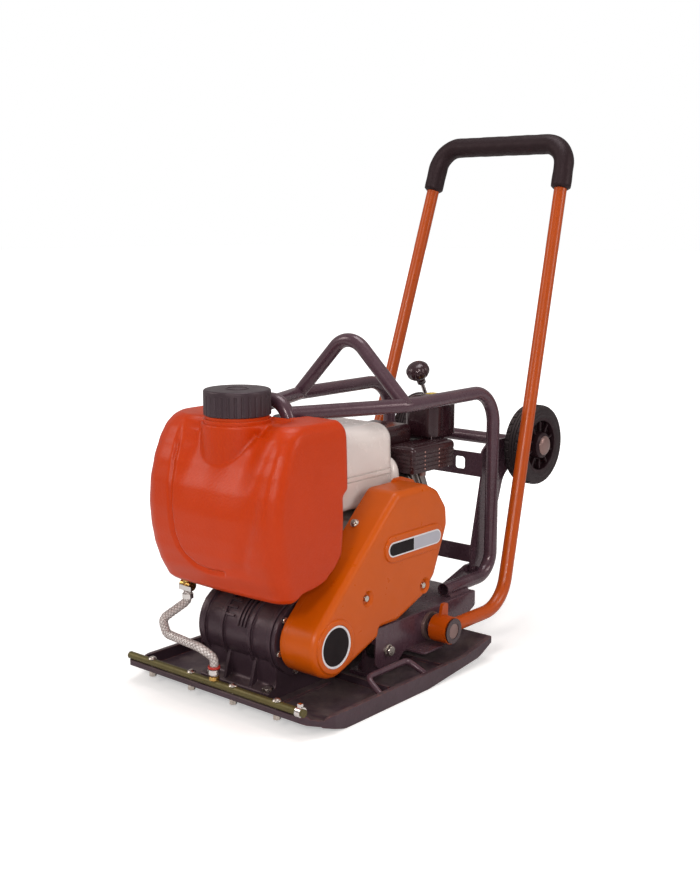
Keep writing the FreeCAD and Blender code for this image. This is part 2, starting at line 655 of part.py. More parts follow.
# ---------------------------------------------------------------- blower and starter
def volute(inset, x0, x1):
    front, rear, bottom, top = CR_Y - 92, CR_Y + 92, CR_Z - 88, CR_Z + 69
    return prism([(front + inset, bottom + inset), (rear - inset, bottom + inset),
                  (CR_Y + 98 - inset, CR_Z + 20), (CR_Y + 74 - inset, top - inset),
                  (front + inset, top - inset)], [78, 78, 30, 24, 60], 'x', x0, x1)


save("blower_housing", largest(cut(volute(0, -116, -64), volute(3, -117, -67),
                                   xcyl(-130, -60, CRANK, 30))))

STARTER_X = -142                # outer face of the starter cover
CORD = (CR_Y, CR_Z + 50)


def starter_cover():
    body = fuse(xcyl(-120, -116, CRANK, 84), xcyl(STARTER_X, -120, CRANK, 72))
    body = soft(body, 9, at('x', STARTER_X))
    body = body.cut(xcyl(-138, -100, CRANK, 68))
    for i in range(24):
        if i in (5, 6, 7):      # no slots near the pull cord
            continue
        body = body.cut(about_crank(box(-150, -130, 34, 58, -1.8, 1.8), 15 * i))
    body = largest(fuse(body, xcyl(-138, -128, CRANK, 28)))
    return body.cut(xcyl(-150, -130, CORD, 2.6))


save("starter_cover", starter_cover())
pull_bar = soft(box(-163, -149, CR_Y - 28, CR_Y + 28, CR_Z + 43, CR_Z + 57), 5, every)
save("starter_grip", fuse(pull_bar, xcyl(-150, -136, CORD, 2.2)))

# ---------------------------------------------------------------- fuel tank
FILLER = FILLER_X, FILLER_Y = -62.0, 12.0
FILLER_R = 24
FUEL_CAP_TOP = 458


def fuel_body(inset):
    return soft(box(-115 + inset, 80 - inset, -42 + inset, 130 - inset,
                    302 + inset, 437 - inset), 20 - inset, every)


def fuel_tank():
    seam = soft(box(-118, 83, -45, 133, 343, 348), 18, vertical)
    body = fuel_body(0).fuse(seam).fuse(zcyl(*FILLER, 430, 446, FILLER_R)).removeSplitter()
    rear_bulge = soft(box(-104, 79, 60, 157, 306, 366), 16, every)
    return largest(cut(body.fuse(rear_bulge), fuel_body(2.5), zcyl(*FILLER, 420, 450, 20),
                       block, head))


def fuel_cap():
    body = zcyl(*FILLER, 440, FUEL_CAP_TOP, 31)
    body = body.cut(zcyl(*FILLER, 439, 452, FILLER_R + RUN))
    for i in range(18):         # finger flutes
        body = body.cut(zcyl(*around(FILLER, 32.5, 20 * i), 438, 454, 3))
    return soft(body, 2, at('z', FUEL_CAP_TOP))


save("fuel_tank", fuel_tank())
save("fuel_cap", fuel_cap())

# ---------------------------------------------------------------- shroud, muffler, intake
shroud = soft(box(-62, 34, 160, 252, 305, 424), 12, above(306))
shroud = cut(shroud, soft(box(-60, 32, 162, 250, 300, 422), 10, above(306)), block, head)
shroud = largest(shroud)
save("cylinder_shroud", shroud)

muffler = soft(box(44, 88, 178, 297, 346, 385), 12, every)
muffler = largest(fuse(muffler, zcyl(66, 236, 330, 350, 9)).cut(head))
save("muffler", muffler)


def muffler_guard():
    shell = soft(box(36, 97, 171, 304, 345, 396), 8, above(346))
    shell = shell.cut(soft(box(38, 95, 173, 302, 343, 394), 7, above(344)))
    for i in range(11):         # side slots
        y = 181 + i * 10.6
        shell = shell.cut(box(50, 120, y, y + 5.2, 356, 388))
    for i in range(6):          # top slots
        shell = shell.cut(box(44 + 8 * i, 48 + 8 * i, 185, 290, 384, 404))
    return largest(cut(shell, muffler, head))


exhaust_guard = muffler_guard()
save("muffler_guard", exhaust_guard)

AIR_Z = 399                     # joint between the air cleaner's base and cover
air_base = fuse(soft(box(0, 66, 272, 344, 393, AIR_Z), 12, vertical),
                soft(box(6, 36, 305, 341, 352, 394), 6, vertical))
air_base = largest(cut(air_base, exhaust_guard, muffler))
save("air_cleaner_base", air_base)
air_cover = soft(box(-3, 70, 265, 350, AIR_Z, 474), 20, above(AIR_Z + 2))
save("air_cleaner_cover",
     air_cover.cut(soft(box(0, 67, 268, 347, 390, 471), 17, above(AIR_Z + 2))))

THROTTLE = THR_Y, THR_Z = 366.0, 436.0      # throttle lever pivot
THR_PIN_R = 4.0
PLATE_X0, PLATE_X1 = -21, -17               # upright plate that holds the lever
# Side outline (y, z) of that plate
THR_PLATE_SIDE = [(262, 372), (308, 372), (380, 424), (384, 440), (376, 450), (350, 446),
                  (262, 386)]


def carburettor():
    body = fuse(box(-12, 30, 256, 300, 352, 392), zcyl(9, 278, 340, 354, 17),
                box(PLATE_X0, -12, 262, 308, 372, 380),
                prism(THR_PLATE_SIDE, 3, 'x', PLATE_X0, PLATE_X1))
    return largest(cut(body, head, air_base, exhaust_guard, muffler, shroud,
                       xcyl(-30, 0, THROTTLE, THR_PIN_R)))


def throttle_lever():
    """Stem leaning forward from its pivot, with a pebble-shaped knob."""
    foot = Vector(-11, THR_Y, THR_Z + 2)
    knob_centre = Vector(-9, THR_Y - 44, THR_Z + 79)
    lean = unit(knob_centre - foot)
    knob_h = 35
    lever = fuse(xcyl(PLATE_X1, -8, THROTTLE, 8), xcyl(-25, -16, THROTTLE, THR_PIN_R - RUN),
                 Part.makeCylinder(3.6, 84, foot, lean), xcyl(-25, -21.1, THROTTLE, 7))
    knob = soft(Part.makeCylinder(23, knob_h, knob_centre - lean * (knob_h / 2), lean), 14,
                lambda edge: len(edge.Vertexes) == 1)
    knob = knob.fuse(Part.makeCone(8, 11, 16, knob_centre - lean * 30, lean))
    lever = fuse(lever, knob)
    # only the pin may pass through the thickness of the plate
    plate_room = xcyl(PLATE_X0, PLATE_X1, THROTTLE, 30).cut(
        xcyl(PLATE_X0 - 0.5, PLATE_X1 + 0.5, THROTTLE, 3.96))
    return largest(lever.cut(plate_room))


save("carburettor", carburettor())
save("throttle_lever", throttle_lever())

# ================================================================ WATER TANK
TANK_HALF_W = 158
CAP_Y, CAP_R, CAP_TOP = -181.0, 56.0, 532
NECK_R = 50
# Outlines of the tank: side (y, z), plan (x, y) and front (x, z)
TANK_SIDE = [(-232, 200), (-189, 208), (-141, 213), (-106, 232), (-84, 262), (-86, 358),
             (-77, 368), (-78, 466), (-98, 483), (-196, 483), (-226, 462), (-253, 415),
             (-266, 375), (-271, 335), (-270, 292), (-254, 240)]
TANK_SIDE_RADII = [16, 10, 30, 20, 10, 3, 6, 16, 16, 24, 20, 40, 40, 40, 40, 24]
TANK_PLAN = [(158, -60), (158, -246), (60, -271), (-60, -271), (-158, -246), (-158, -60)]
TANK_FRONT = [(-150, 194), (150, 194), (159, 330), (157, 484), (-157, 484), (-159, 330)]


def tank_body(inset):
    """Common volume of the three outlines, with a recess at the rear for the hoop."""
    def face(points, radii, axis, height):
        wire = flat_wire(points, radii, axis, height)
        return Part.Face(wire.makeOffset2D(-inset) if inset else wire)

    side = face(TANK_SIDE, TANK_SIDE_RADII, 'x', -TANK_HALF_W + inset)
    side = side.extrude(Vector(2 * TANK_HALF_W - 2 * inset, 0, 0))
    plan = face(TANK_PLAN, [4, 32, 60, 60, 32, 4], 'z', 180).extrude(Vector(0, 0, 340))
    front = face(TANK_FRONT, [42, 42, 90, 46, 46, 90], 'y', -300).extrude(Vector(0, 300, 0))
    recess = box(-75 - inset, 75 + inset, -125 - inset, -40, 150, 560)
    return side.common(plan).common(front).cut(recess)


def water_tank():
    body = fuse(tank_body(0), zcyl(0, CAP_Y, 400, 490, 60), zcyl(0, CAP_Y, 489, 518, NECK_R))
    return largest(cut(body, tank_body(4), zcyl(0, CAP_Y, 410, 486, 55),
                       zcyl(0, CAP_Y, 480, 530, 45)))


def tank_cap():
    body = zcyl(0, CAP_Y, 490.4, CAP_TOP, CAP_R).cut(zcyl(0, CAP_Y, 489, 522, NECK_R + 0.08))
    body = soft(body, 4, at('z', CAP_TOP))
    for i in range(30):         # finger flutes
        body = body.cut(zcyl(*around((0, CAP_Y), CAP_R + 1.6, 12 * i), 488, 524, 3.0))
    return body


save("water_tank", water_tank())
save("tank_cap", tank_cap())

# ---------------------------------------------------------------- valve and hose
VALVE_X, VALVE_Y, VALVE_Z = -103.0, -206.0, 184
VALVE_BORE = 3.5
HOSE_R = 7.5


def water_valve():
    """Outlet under the front of the tank, on the -X side."""
    body = fuse(zcyl(VALVE_X, VALVE_Y, 186, 206, 8),
                xcyl(VALVE_X - 12, VALVE_X + 12, (VALVE_Y, VALVE_Z), 9),
                zcyl(VALVE_X, VALVE_Y, 158, 182, 6))
    return largest(cut(body, tank_body(0), zcyl(VALVE_X, VALVE_Y, 150, 230, VALVE_BORE),
                       ycyl(VALVE_X, VALVE_Y - 14, VALVE_Y, VALVE_Z, VALVE_BORE)))


valve = water_valve()
save("water_valve", valve)
valve_lever = fuse(ycyl(VALVE_X, VALVE_Y - 15, VALVE_Y - 5, VALVE_Z, VALVE_BORE - RUN),
                   box(VALVE_X - 4, VALVE_X + 26, VALVE_Y - 17, VALVE_Y - 14,
                       VALVE_Z - 4, VALVE_Z + 4))
save("valve_lever", valve_lever)

# Hose from the valve to the spray bar, solid but for the spigots it is pushed over
HOSE_PATH = [(VALVE_X, VALVE_Y, 176), (VALVE_X, VALVE_Y, 156), (-116, -254, 132),
             (-96, -262, 112), (-14, -262, 106), (BARB_X, SPRAY_Y, 90), (BARB_X, SPRAY_Y, 59)]
hose = rod(HOSE_PATH, [0, 11, 14, 14, 22, 14, 0], HOSE_R)
save("water_hose", largest(cut(hose, valve, barb, zcyl(VALVE_X, VALVE_Y, 158, 190, 3.6),
                               zcyl(BARB_X, SPRAY_Y, 50, 79, 3.1), valve_lever)))


def hose_clamp(x, y, z, bore_z0, bore_z1):
    return largest(cut(zcyl(x, y, z, z + 8, 9.6), hose, zcyl(x, y, bore_z0, bore_z1, HOSE_R)))


save("hose_clamps", hose_clamp(VALVE_X, VALVE_Y, 161, 150, 180),
     hose_clamp(BARB_X, SPRAY_Y, 62, 50, 80), bar_clamp())

# ================================================================ BELT GUARD
LOBE = (-126.0, 111.0)          # centre of the front lobe, round the exciter pulley
LOBE_R = 55.0
GUARD_T = 3.2                   # guard wall
BACK_X = GUARD_X0 - 3           # inner face of the back plate
GUARD_SCREWS = [(119, 160), (-41, 173)]     # (y, z)
SCREW_R = 3.0
PANEL_Y, PANEL_Z = 85.0, 246.0  # centre of the raised oblong panel
# Outline (y, z) behind the lobe, from the lobe's underside round to its top
GUARD_SIDE = [(-10, 96), (-6, 112), (44, 112), (118, 140), (151, 172), (189, 260),
              (186, 294), (160, 328), (129, 343), (40, 343), (-2, 305)]
GUARD_RADII = [13, 4, 40, 20, 24, 30, 26, 26, 17, 22, 60]
# Outline (y, z) of the back plate's wider rear part
BACK_REAR = [(120, 145), (150, 160), (196, 256), (194, 300), (165, 338), (130, 349),
             (100, 349), (100, 200)]


def lobe_tangent(point, side):
    """Angle on the lobe (degrees) where a line from point touches it; side picks which."""
    dy, dz = point[0] - LOBE[0], point[1] - LOBE[1]
    angle = math.atan2(dz, dy) + side * math.acos(LOBE_R / math.hypot(dy, dz))
    return math.degrees(angle)


def guard_outline(x):
    """Closed outline: a rounded polygon run into the lobe arc by two tangents."""
    low, high = lobe_tangent(GUARD_SIDE[0], -1), lobe_tangent(GUARD_SIDE[-1], 1)
    low_point, high_point, middle = [around(LOBE, LOBE_R, angle)
                                     for angle in (low, high, (low + high) / 2 + 180)]
    points = [low_point] + GUARD_SIDE + [high_point]
    run = rounded([lift(point, 'x', x) for point in points], [0] + GUARD_RADII + [0], False)
    arc = Part.Arc(Vector(x, *high_point), Vector(x, *middle), Vector(x, *low_point))
    return Part.Wire(Part.__sortEdges__(run.Edges + [arc.toShape()]))


def guard_solid(inset, x0, x1):
    wire = guard_outline(x0)
    if inset:
        wire = wire.makeOffset2D(-inset)
    return Part.Face(wire).extrude(Vector(x1 - x0, 0, 0))


def pill(half_length, half_height, radius, x0, x1):
    """Round-ended bar centred on the panel."""
    y0, y1 = PANEL_Y - half_length, PANEL_Y + half_length
    z0, z1 = PANEL_Z - half_height, PANEL_Z + half_height
    return prism([(y0, z0), (y1, z0), (y1, z1), (y0, z1)], radius, 'x', x0, x1)


def belt_guard():
    inner_x, raised_x = GUARD_X1 - GUARD_T, GUARD_X1 + 3
    outside = soft(guard_solid(0, GUARD_X0, GUARD_X1), 12, at('x', GUARD_X1))
    inside = soft(guard_solid(GUARD_T, GUARD_X0, inner_x), 8.8, at('x', inner_x))
    shell = outside.cut(inside)
    panel = soft(pill(82, 24, 23.9, GUARD_X1 - 0.5, raised_x), 2, at('x', raised_x))
    rim_r = 46
    on_face = at('x', raised_x)
    lobe_rim = soft(ring(GUARD_X1 - 2, raised_x, LOBE, rim_r, 37), 2.5, lambda edge:
                    on_face(edge) and abs(edge.BoundBox.YLength - 2 * rim_r) < 0.1)
    shell = fuse(shell, panel, lobe_rim)
    for screw in GUARD_SCREWS:
        dish = Part.makeCone(9, 14.5, 5, Vector(GUARD_X1 - 5, *screw), X_DIR)
        dish = dish.fuse(xcyl(GUARD_X1 - 0.01, GUARD_X1 + 4, screw, 14.5))
        dish = dish.fuse(xcyl(GUARD_X1 - 6.5, GUARD_X1 - 4.9, screw, 9))
        shell = shell.fuse(xcyl(GUARD_X0, GUARD_X1 - 1, screw, 15))
        shell = cut(shell, dish, xcyl(GUARD_X0 - 5, GUARD_X1, screw, SCREW_R))
        # slim the middle of the boss
        shell = shell.cut(xcyl(GUARD_X0 + 6, GUARD_X1 - 12, screw, 16).cut(
            xcyl(GUARD_X0, GUARD_X1, screw, 7)))
    return largest(shell.removeSplitter())


def guard_back():
    inner = guard_solid(GUARD_T, GUARD_X0, GUARD_X0 + 60)
    inner.translate(Vector(-20, 0, 0))
    front_lip = guard_solid(0, 91, BACK_X).common(box(80, 110, -200, -28, 40, 200))
    front_lip = largest(front_lip.cut(inner))
    body = fuse(guard_solid(0, BACK_X, GUARD_X0), prism(BACK_REAR, 12, 'x', BACK_X, GUARD_X0))
    body = cut(body, xcyl(90, 110, CRANK, 34), xcyl(90, 110, EXCITER, 34))
    for screw in GUARD_SCREWS:
        body = body.cut(xcyl(90, 110, screw, SCREW_R))
    return largest(fuse(body, front_lip))


save("belt_guard", belt_guard())
save("guard_back_plate", guard_back())
# round badge and its rim on the lobe, long badge on the panel
save("guard_badges", xcyl(GUARD_X1, GUARD_X1 + 1.6, LOBE, 34.5),
     ring(GUARD_X1, GUARD_X1 + 2.6, LOBE, 36.9, 34.5),
     pill(75, 13, 12.9, GUARD_X1 + 3, GUARD_X1 + 4.2))
save("guard_screws", *[hex_bolt((GUARD_X1 - 6.5, y, z), X_DIR, SCREW_R, 10, 4, 62)
                       for y, z in GUARD_SCREWS])

# ================================================================ HANDLE
LOW_BEND = (195.0, 322.6, 80.0)
TOP_BEND = (151.0, 591.3, 955.0)
GRIP_R, GRIP_Z0 = 20.0, 866.0   # grip radius and lower ends
COLLAR_R = 25


def across(half_path):
    """Complete a path with its mirror image on the -X side."""
    return half_path + [(-x, y, z) for x, y, z in reversed(half_path)]


def handle_tube():
    path = across([(LOW_BEND[0] - 7, PIV_Y, 77), LOW_BEND, TOP_BEND])
    collar = ring(166, 202, PIVOT, COLLAR_R, BUSH_R)
    tab = prism([(PIV_Y - 8, PIV_Z + 20), (PIV_Y + 14, PIV_Z + 20),
                 (PIV_Y + 14, PIV_Z + 46), (PIV_Y - 2, PIV_Z + 46)], [0, 0, 5, 5],
                'x', 176, 182).cut(xcyl(160, 210, PIVOT, COLLAR_R))
    body = cut(tube(path, [0, 75, 62, 62, 75, 0], TUBE_R, TUBE_WALL),
               xcyl(160, 210, PIVOT, COLLAR_R), xcyl(-210, -160, PIVOT, COLLAR_R))
    return fuse(largest(body), *both_sides(collar), *both_sides(tab))


def handle_grip():
    share = (GRIP_Z0 - LOW_BEND[2]) / (TOP_BEND[2] - LOW_BEND[2])
    start = tuple(low + (top - low) * share for low, top in zip(LOW_BEND, TOP_BEND))
    return tube(across([start, TOP_BEND]), [0, 62, 62, 0], GRIP_R, GRIP_R - TUBE_R)


save("handle_tube", handle_tube())
save("handle_grip", handle_grip())

# ================================================================ TRANSPORT WHEELS
WHEEL_R, WHEEL_W, WHEEL_X = 80.0, 42.0, 140.0
AXLE_R = 8.9
WEB_HALF_W = 103.5
# Side outline (y, z) of a bracket arm
ARM_SIDE = [(346, 118), (346, 165), (379, 309), (379, 360), (400, 375), (511, 378), (527, 361),
            (520, 345), (455, 300), (431, 230), (405, 150), (385, 118)]


def wheel_bracket():
    arm = prism(ARM_SIDE, [8, 60, 20, 14, 14, 16, 16, 16, 40, 60, 20, 8], 'x', 103, 107)
    arm = cut(arm, xcyl(90, 120, AXLE, AXLE_R), xcyl(90, 120, BRACKET_PIVOT, BRACKET_PIN_R))
    boss = ring(98, 116, AXLE, 16, AXLE_R)
    lower_web = box(-WEB_HALF_W, WEB_HALF_W, 345.5, 349.5, 144, 178)
    lower_web = lower_web.cut(xcyl(-200, 200, BRACKET_PIVOT, 14))
    upper_web = box(-WEB_HALF_W, WEB_HALF_W, 379, 383, 309, 356)
    for i in range(4):
        x = -66 + 36 * i
        upper_web = upper_web.cut(prism([(x, 320), (x + 24, 320), (x + 24, 345), (x, 345)], 6,
                                        'y', 375, 390))
    return fuse(*both_sides(arm), *both_sides(boss), lower_web, upper_web)


def turned(profile):
    """Revolve a profile of (x, radius) points about the axle."""
    points = [Vector(x, AXLE_Y, AXLE_Z + radius) for x, radius in profile]
    return polygon_face(points).revolve(Vector(0, *AXLE), X_DIR, 360)


save("wheel_bracket", wheel_bracket())
pin = fuse(xcyl(88, 111, BRACKET_PIVOT, BRACKET_PIN_R), xcyl(110.5, 114, BRACKET_PIVOT, 8))
save("wheel_pins", xcyl(-163, 163, AXLE, AXLE_R), *both_sides(pin))

# Tyre and hub profiles (x, radius)
tyre_x0, tyre_x1 = WHEEL_X - WHEEL_W / 2, WHEEL_X + WHEEL_W / 2
TYRE = [(tyre_x0 + 2, 56), (tyre_x0, 60), (tyre_x0, 70), (tyre_x0 + 4, 77),
        (tyre_x0 + 10, WHEEL_R), (tyre_x0 + 16, WHEEL_R), (tyre_x0 + 17, 78),
        (tyre_x0 + 19, 78), (tyre_x0 + 20, WHEEL_R), (tyre_x0 + 22, WHEEL_R),
        (tyre_x0 + 23, 78), (tyre_x0 + 25, 78), (tyre_x0 + 26, WHEEL_R),
        (tyre_x1 - 10, WHEEL_R), (tyre_x1 - 4, 77), (tyre_x1, 70), (tyre_x1, 60),
        (tyre_x1 - 2, 56)]
HUB = [(118, AXLE_R + RUN), (118, 24), (122, 26), (128, 50), (121, 50), (121, 56), (159, 56),
       (159, 50), (147, 48), (146, 28), (158, 26), (163, 25), (168, 18), (170.5, 0.5),
       (164, 0.5), (164, AXLE_R + RUN)]
tyre = turned(TYRE)
hub = fuse(turned(HUB), xcyl(164.0, 170.4, AXLE, 8))
for name, wheel_part in (("tyre", tyre), ("hub", hub)):
    save(name + "_left", wheel_part)
    save(name + "_right", mirrored(wheel_part))
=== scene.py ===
"""A plate compactor with engine, water tank, handle and transport wheels.

Metres, +Z up, standing on z = 0. The water tank is at the front (-Y), the handle rises to the
rear (+Y), and the left wheel is on the +X side. The CAD pieces get materials and soft shading;
some are replaced by more detailed meshes, and small parts are added.
"""
import bpy, bmesh, math
from mathutils import Vector, Matrix


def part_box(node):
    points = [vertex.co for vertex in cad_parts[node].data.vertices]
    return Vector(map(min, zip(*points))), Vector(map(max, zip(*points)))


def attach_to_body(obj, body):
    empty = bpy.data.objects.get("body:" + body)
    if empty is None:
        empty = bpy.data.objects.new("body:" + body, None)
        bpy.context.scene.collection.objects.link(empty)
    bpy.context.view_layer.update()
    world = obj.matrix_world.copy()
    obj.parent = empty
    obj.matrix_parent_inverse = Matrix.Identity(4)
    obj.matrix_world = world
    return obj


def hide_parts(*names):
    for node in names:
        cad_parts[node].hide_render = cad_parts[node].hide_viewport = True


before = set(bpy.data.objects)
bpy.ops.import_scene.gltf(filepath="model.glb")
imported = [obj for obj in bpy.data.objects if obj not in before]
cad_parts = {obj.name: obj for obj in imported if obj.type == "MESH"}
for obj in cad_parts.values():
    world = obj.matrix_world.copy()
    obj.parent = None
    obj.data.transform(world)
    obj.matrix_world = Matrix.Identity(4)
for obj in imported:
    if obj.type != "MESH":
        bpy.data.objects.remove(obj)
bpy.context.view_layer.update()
MM = 0.001
WHITE = (1.0, 1.0, 1.0, 1.0)


# ------------------------------------------------------------------ shader helpers
MATERIALS = {}      # by name


def srgb(red, green, blue):
    """Linear RGBA from 8-bit sRGB."""
    def linear(value):
        value /= 255
        return value / 12.92 if value <= 0.04045 else ((value + 0.055) / 1.055) ** 2.4
    return (linear(red), linear(green), linear(blue), 1.0)


def shade(colour, factor):
    return (colour[0] * factor, colour[1] * factor, colour[2] * factor, 1.0)


class Shader:
    """A new material with one Principled surface, and short ways to add nodes to it."""
    def __init__(self, name):
        material = bpy.data.materials.new(name)
        material.use_nodes = True
        self.tree = material.node_tree
        self.tree.nodes.clear()
        output = self.node("OutputMaterial")
        self.surface = self.node("BsdfPrincipled")
        self.feed(output.inputs[0], self.surface.outputs[0])
        self.position = self.node("TexCoord").outputs["Object"]
        MATERIALS[name] = material

    def node(self, kind, **settings):
        node = self.tree.nodes.new("ShaderNode" + kind)
        for key, value in settings.items():
            setattr(node, key, value)
        return node

    def feed(self, socket, value):
        """Link an output to the socket, or set the socket to a plain value."""
        if isinstance(value, bpy.types.NodeSocket):
            self.tree.links.new(value, socket)
        else:
            socket.default_value = value

    def feed_all(self, node, values):
        for key, value in values.items():
            self.feed(node.inputs[key], value)

    def noise(self, scale, detail=4.0, rough=0.55, stretch=None, distortion=0.0):
        noise = self.node("TexNoise")
        vector = self.position
        if stretch:
            mapping = self.node("Mapping")
            self.feed_all(mapping, {"Scale": stretch, "Vector": self.position})
            vector = mapping.outputs[0]
        self.feed_all(noise, {"Scale": scale, "Detail": detail, "Roughness": rough,
                              "Distortion": distortion, "Vector": vector})
        return noise.outputs["Fac"]

    def remap(self, value, span, to=(0.0, 1.0)):
        """Clamped map of the range span onto the range to."""
        node = self.node("MapRange")
        self.feed_all(node, {"From Min": span[0], "From Max": span[1],
                             "To Min": to[0], "To Max": to[1], "Value": value})
        return node.outputs[0]

    def math(self, operation, a, b):
        node = self.node("Math", operation=operation)
        self.feed_all(node, {0: a, 1: b})
        return node.outputs[0]

    def mix(self, factor, a, b):
        node = self.node("Mix", data_type="RGBA")
        self.feed_all(node, {0: factor, 6: a, 7: b})
        return node.outputs[2]

    def bevel_normal(self, radius):
        node = self.node("Bevel", samples=4)
        self.feed(node.inputs["Radius"], radius)
        return node.outputs[0]

    def edge(self, radius, span=(0.02, 0.25)):
        """0..1 mask of edges, where the bevelled normal leaves the true one."""
        bevelled = self.bevel_normal(radius)
        true_normal = self.node("NewGeometry").outputs["Normal"]
        dot = self.node("VectorMath", operation="DOT_PRODUCT")
        self.feed_all(dot, {0: bevelled, 1: true_normal})
        return self.remap(self.math("SUBTRACT", 1.0, dot.outputs["Value"]), span=span)

    def bump(self, height, depth, normal=None):
        node = self.node("Bump")
        self.feed_all(node, {"Strength": 1.0, "Distance": depth, "Height": height})
        if normal is not None:
            self.feed(node.inputs["Normal"], normal)
        return node.outputs[0]


def material(name, colour, rough=0.5, metal=0.0, mottle=0.15, mottle_scale=9.0, stretch=None,
             grain=(900, 0.00006), wave=(40, 0.0), wear=None, wear_radius=0.0012, wear_amount=0.6,
             dust=0.0, speck=0.0, coat=0.0, specular=0.5, bevel=0.0):
    """A worn, mottled surface.

    colour and wear (the colour of rubbed edges) are 8-bit sRGB. grain and wave are fine and
    broad bumps, each (noise scale, depth). dust lies on upward faces; bevel rounds the shading.
    """
    s = Shader(name)
    colour = srgb(*colour)
    broad = s.noise(scale=mottle_scale, detail=5, rough=0.6, stretch=stretch)
    fine = s.noise(scale=mottle_scale * 14, detail=6, rough=0.65, stretch=stretch)
    base = s.mix(s.remap(broad, span=(0.3, 0.72)),
                 shade(colour, 1 - mottle), shade(colour, 1 + mottle))
    base = s.mix(s.remap(fine, span=(0.35, 0.75), to=(0.0, 0.35)),
                 base, shade(colour, 1 - 1.6 * mottle))
    rough_spread = 0.08
    roughness = s.remap(s.noise(scale=mottle_scale * 5, detail=5, rough=0.6), span=(0.3, 0.7),
                        to=(max(0.02, rough - rough_spread), min(1.0, rough + rough_spread)))
    if dust:
        axes = s.node("SeparateXYZ")
        s.feed(axes.inputs[0], s.node("NewGeometry").outputs["Normal"])
        upward = s.remap(axes.outputs[2], span=(0.2, 1.0))
        patches = s.remap(s.noise(scale=22, detail=7, rough=0.7), span=(0.38, 0.75), to=(0.0, dust))
        mask = s.math("MULTIPLY", upward, patches)
        base = s.mix(mask, base, srgb(150, 138, 128))
        roughness = s.math("ADD", roughness, s.math("MULTIPLY", mask, 0.35))
    if speck:
        cells = s.node("TexVoronoi")
        s.feed_all(cells, {"Scale": 260, "Vector": s.position})
        dots = s.remap(cells.outputs["Distance"], span=(0.14, 0.05))
        patches = s.remap(s.noise(scale=30, detail=3), span=(0.5, 0.62), to=(0, speck))
        base = s.mix(s.math("MULTIPLY", dots, patches), base, shade(colour, 2.2))
    if wear:
        edge = s.edge(wear_radius)
        broken = s.remap(s.noise(scale=75, detail=8, rough=0.7), span=(0.42, 0.62))
        mask = s.math("MULTIPLY", s.math("MULTIPLY", edge, broken), wear_amount)
        base = s.mix(mask, base, srgb(*wear))
        roughness = s.math("ADD", roughness, s.math("MULTIPLY", mask, 0.12))
    s.feed_all(s.surface, {
        "Base Color": base, "Roughness": roughness, "Metallic": metal,
        "Specular IOR Level": specular, "Coat Weight": coat, "Coat Roughness": 0.12})
    if max(colour[:3]) < 0.09 and metal < 0.1:      # dark plastics have a pinkish sheen
        s.feed(s.surface.inputs["Specular Tint"], (1.0, 0.80, 0.86, 1))
    normal = s.bevel_normal(bevel) if bevel else None
    for scale, depth in (wave, grain):
        if depth:
            normal = s.bump(s.noise(scale=scale, detail=4, rough=0.6), depth, normal)
    if normal is not None:
        s.feed(s.surface.inputs["Normal"], normal)


# ------------------------------------------------------------------ materials
material("frame_paint", (74, 52, 62), rough=0.27, mottle=0.08, grain=(420, 0.00003),
         wave=(40, 0.00005), wear=(150, 140, 138), wear_amount=0.35, coat=0.25, dust=0.12,
         bevel=0.0008)
material("plate_paint", (58, 44, 52), rough=0.42, mottle=0.22, mottle_scale=7,
         grain=(300, 0.00025), wave=(26, 0.0012), wear=(128, 70, 58), wear_amount=0.85,
         wear_radius=0.003, dust=0.3, bevel=0.0014, speck=0.5)
material("cast_paint", (56, 42, 50), rough=0.34, mottle=0.14, grain=(330, 0.0003),
         wave=(50, 0.0006), wear=(110, 100, 95), wear_amount=0.35, dust=0.22, bevel=0.002)
material("zinc_plate", (205, 198, 190), rough=0.3, metal=1.0, mottle=0.16, mottle_scale=60,
         grain=(1400, 0.00004), bevel=0.0006)
material("bright_steel", (188, 182, 176), rough=0.28, metal=1.0, mottle=0.14, mottle_scale=30,
         stretch=(40, 1, 1), grain=(900, 0.00005), bevel=0.0006)
material("blued_steel", (142, 116, 112), rough=0.34, metal=0.6, mottle=0.2, mottle_scale=40,
         grain=(900, 0.00005), bevel=0.0006)
material("spray_tube", (98, 90, 52), rough=0.45, metal=0.5, mottle=0.22, mottle_scale=24,
         grain=(700, 0.00008))
material("black_rubber", (30, 28, 29), rough=0.72, mottle=0.25, grain=(700, 0.0001), dust=0.2,
         bevel=0.001)
material("tyre_rubber", (31, 27, 29), rough=0.66, mottle=0.25, grain=(520, 0.00022), dust=0.22,
         wear=(78, 72, 70), wear_amount=0.5)
material("hub_plastic", (34, 18, 23), rough=0.45, mottle=0.1, grain=(700, 0.00004),
         specular=0.3, bevel=0.001)
material("cast_alu", (168, 164, 162), rough=0.42, metal=0.9, mottle=0.2, mottle_scale=30,
         grain=(480, 0.0003), bevel=0.0008)
material("engine_black", (40, 15, 20), rough=0.26, mottle=0.08, grain=(380, 0.00004),
         coat=0.35, wear=(100, 76, 72), wear_amount=0.05, bevel=0.0012)
material("black_gloss", (42, 20, 26), rough=0.24, mottle=0.08, grain=(420, 0.00004), coat=0.4,
         bevel=0.0012, wear=(90, 80, 80), wear_amount=0.08)
material("fuel_white", (228, 220, 216), rough=0.24, mottle=0.012, grain=(300, 0.00003),
         coat=0.5, wear=(170, 160, 155), wear_amount=0.12, bevel=0.001)
material("cap_plastic", (52, 42, 48), rough=0.38, mottle=0.18, grain=(650, 0.00018),
         wear=(105, 100, 98), wear_amount=0.45, bevel=0.0008)
material("guard_plastic", (196, 84, 0), rough=0.34, mottle=0.05, grain=(520, 0.00005),
         wave=(18, 0.0002), specular=0.3, wear=(232, 128, 48), wear_amount=0.3, bevel=0.0016)
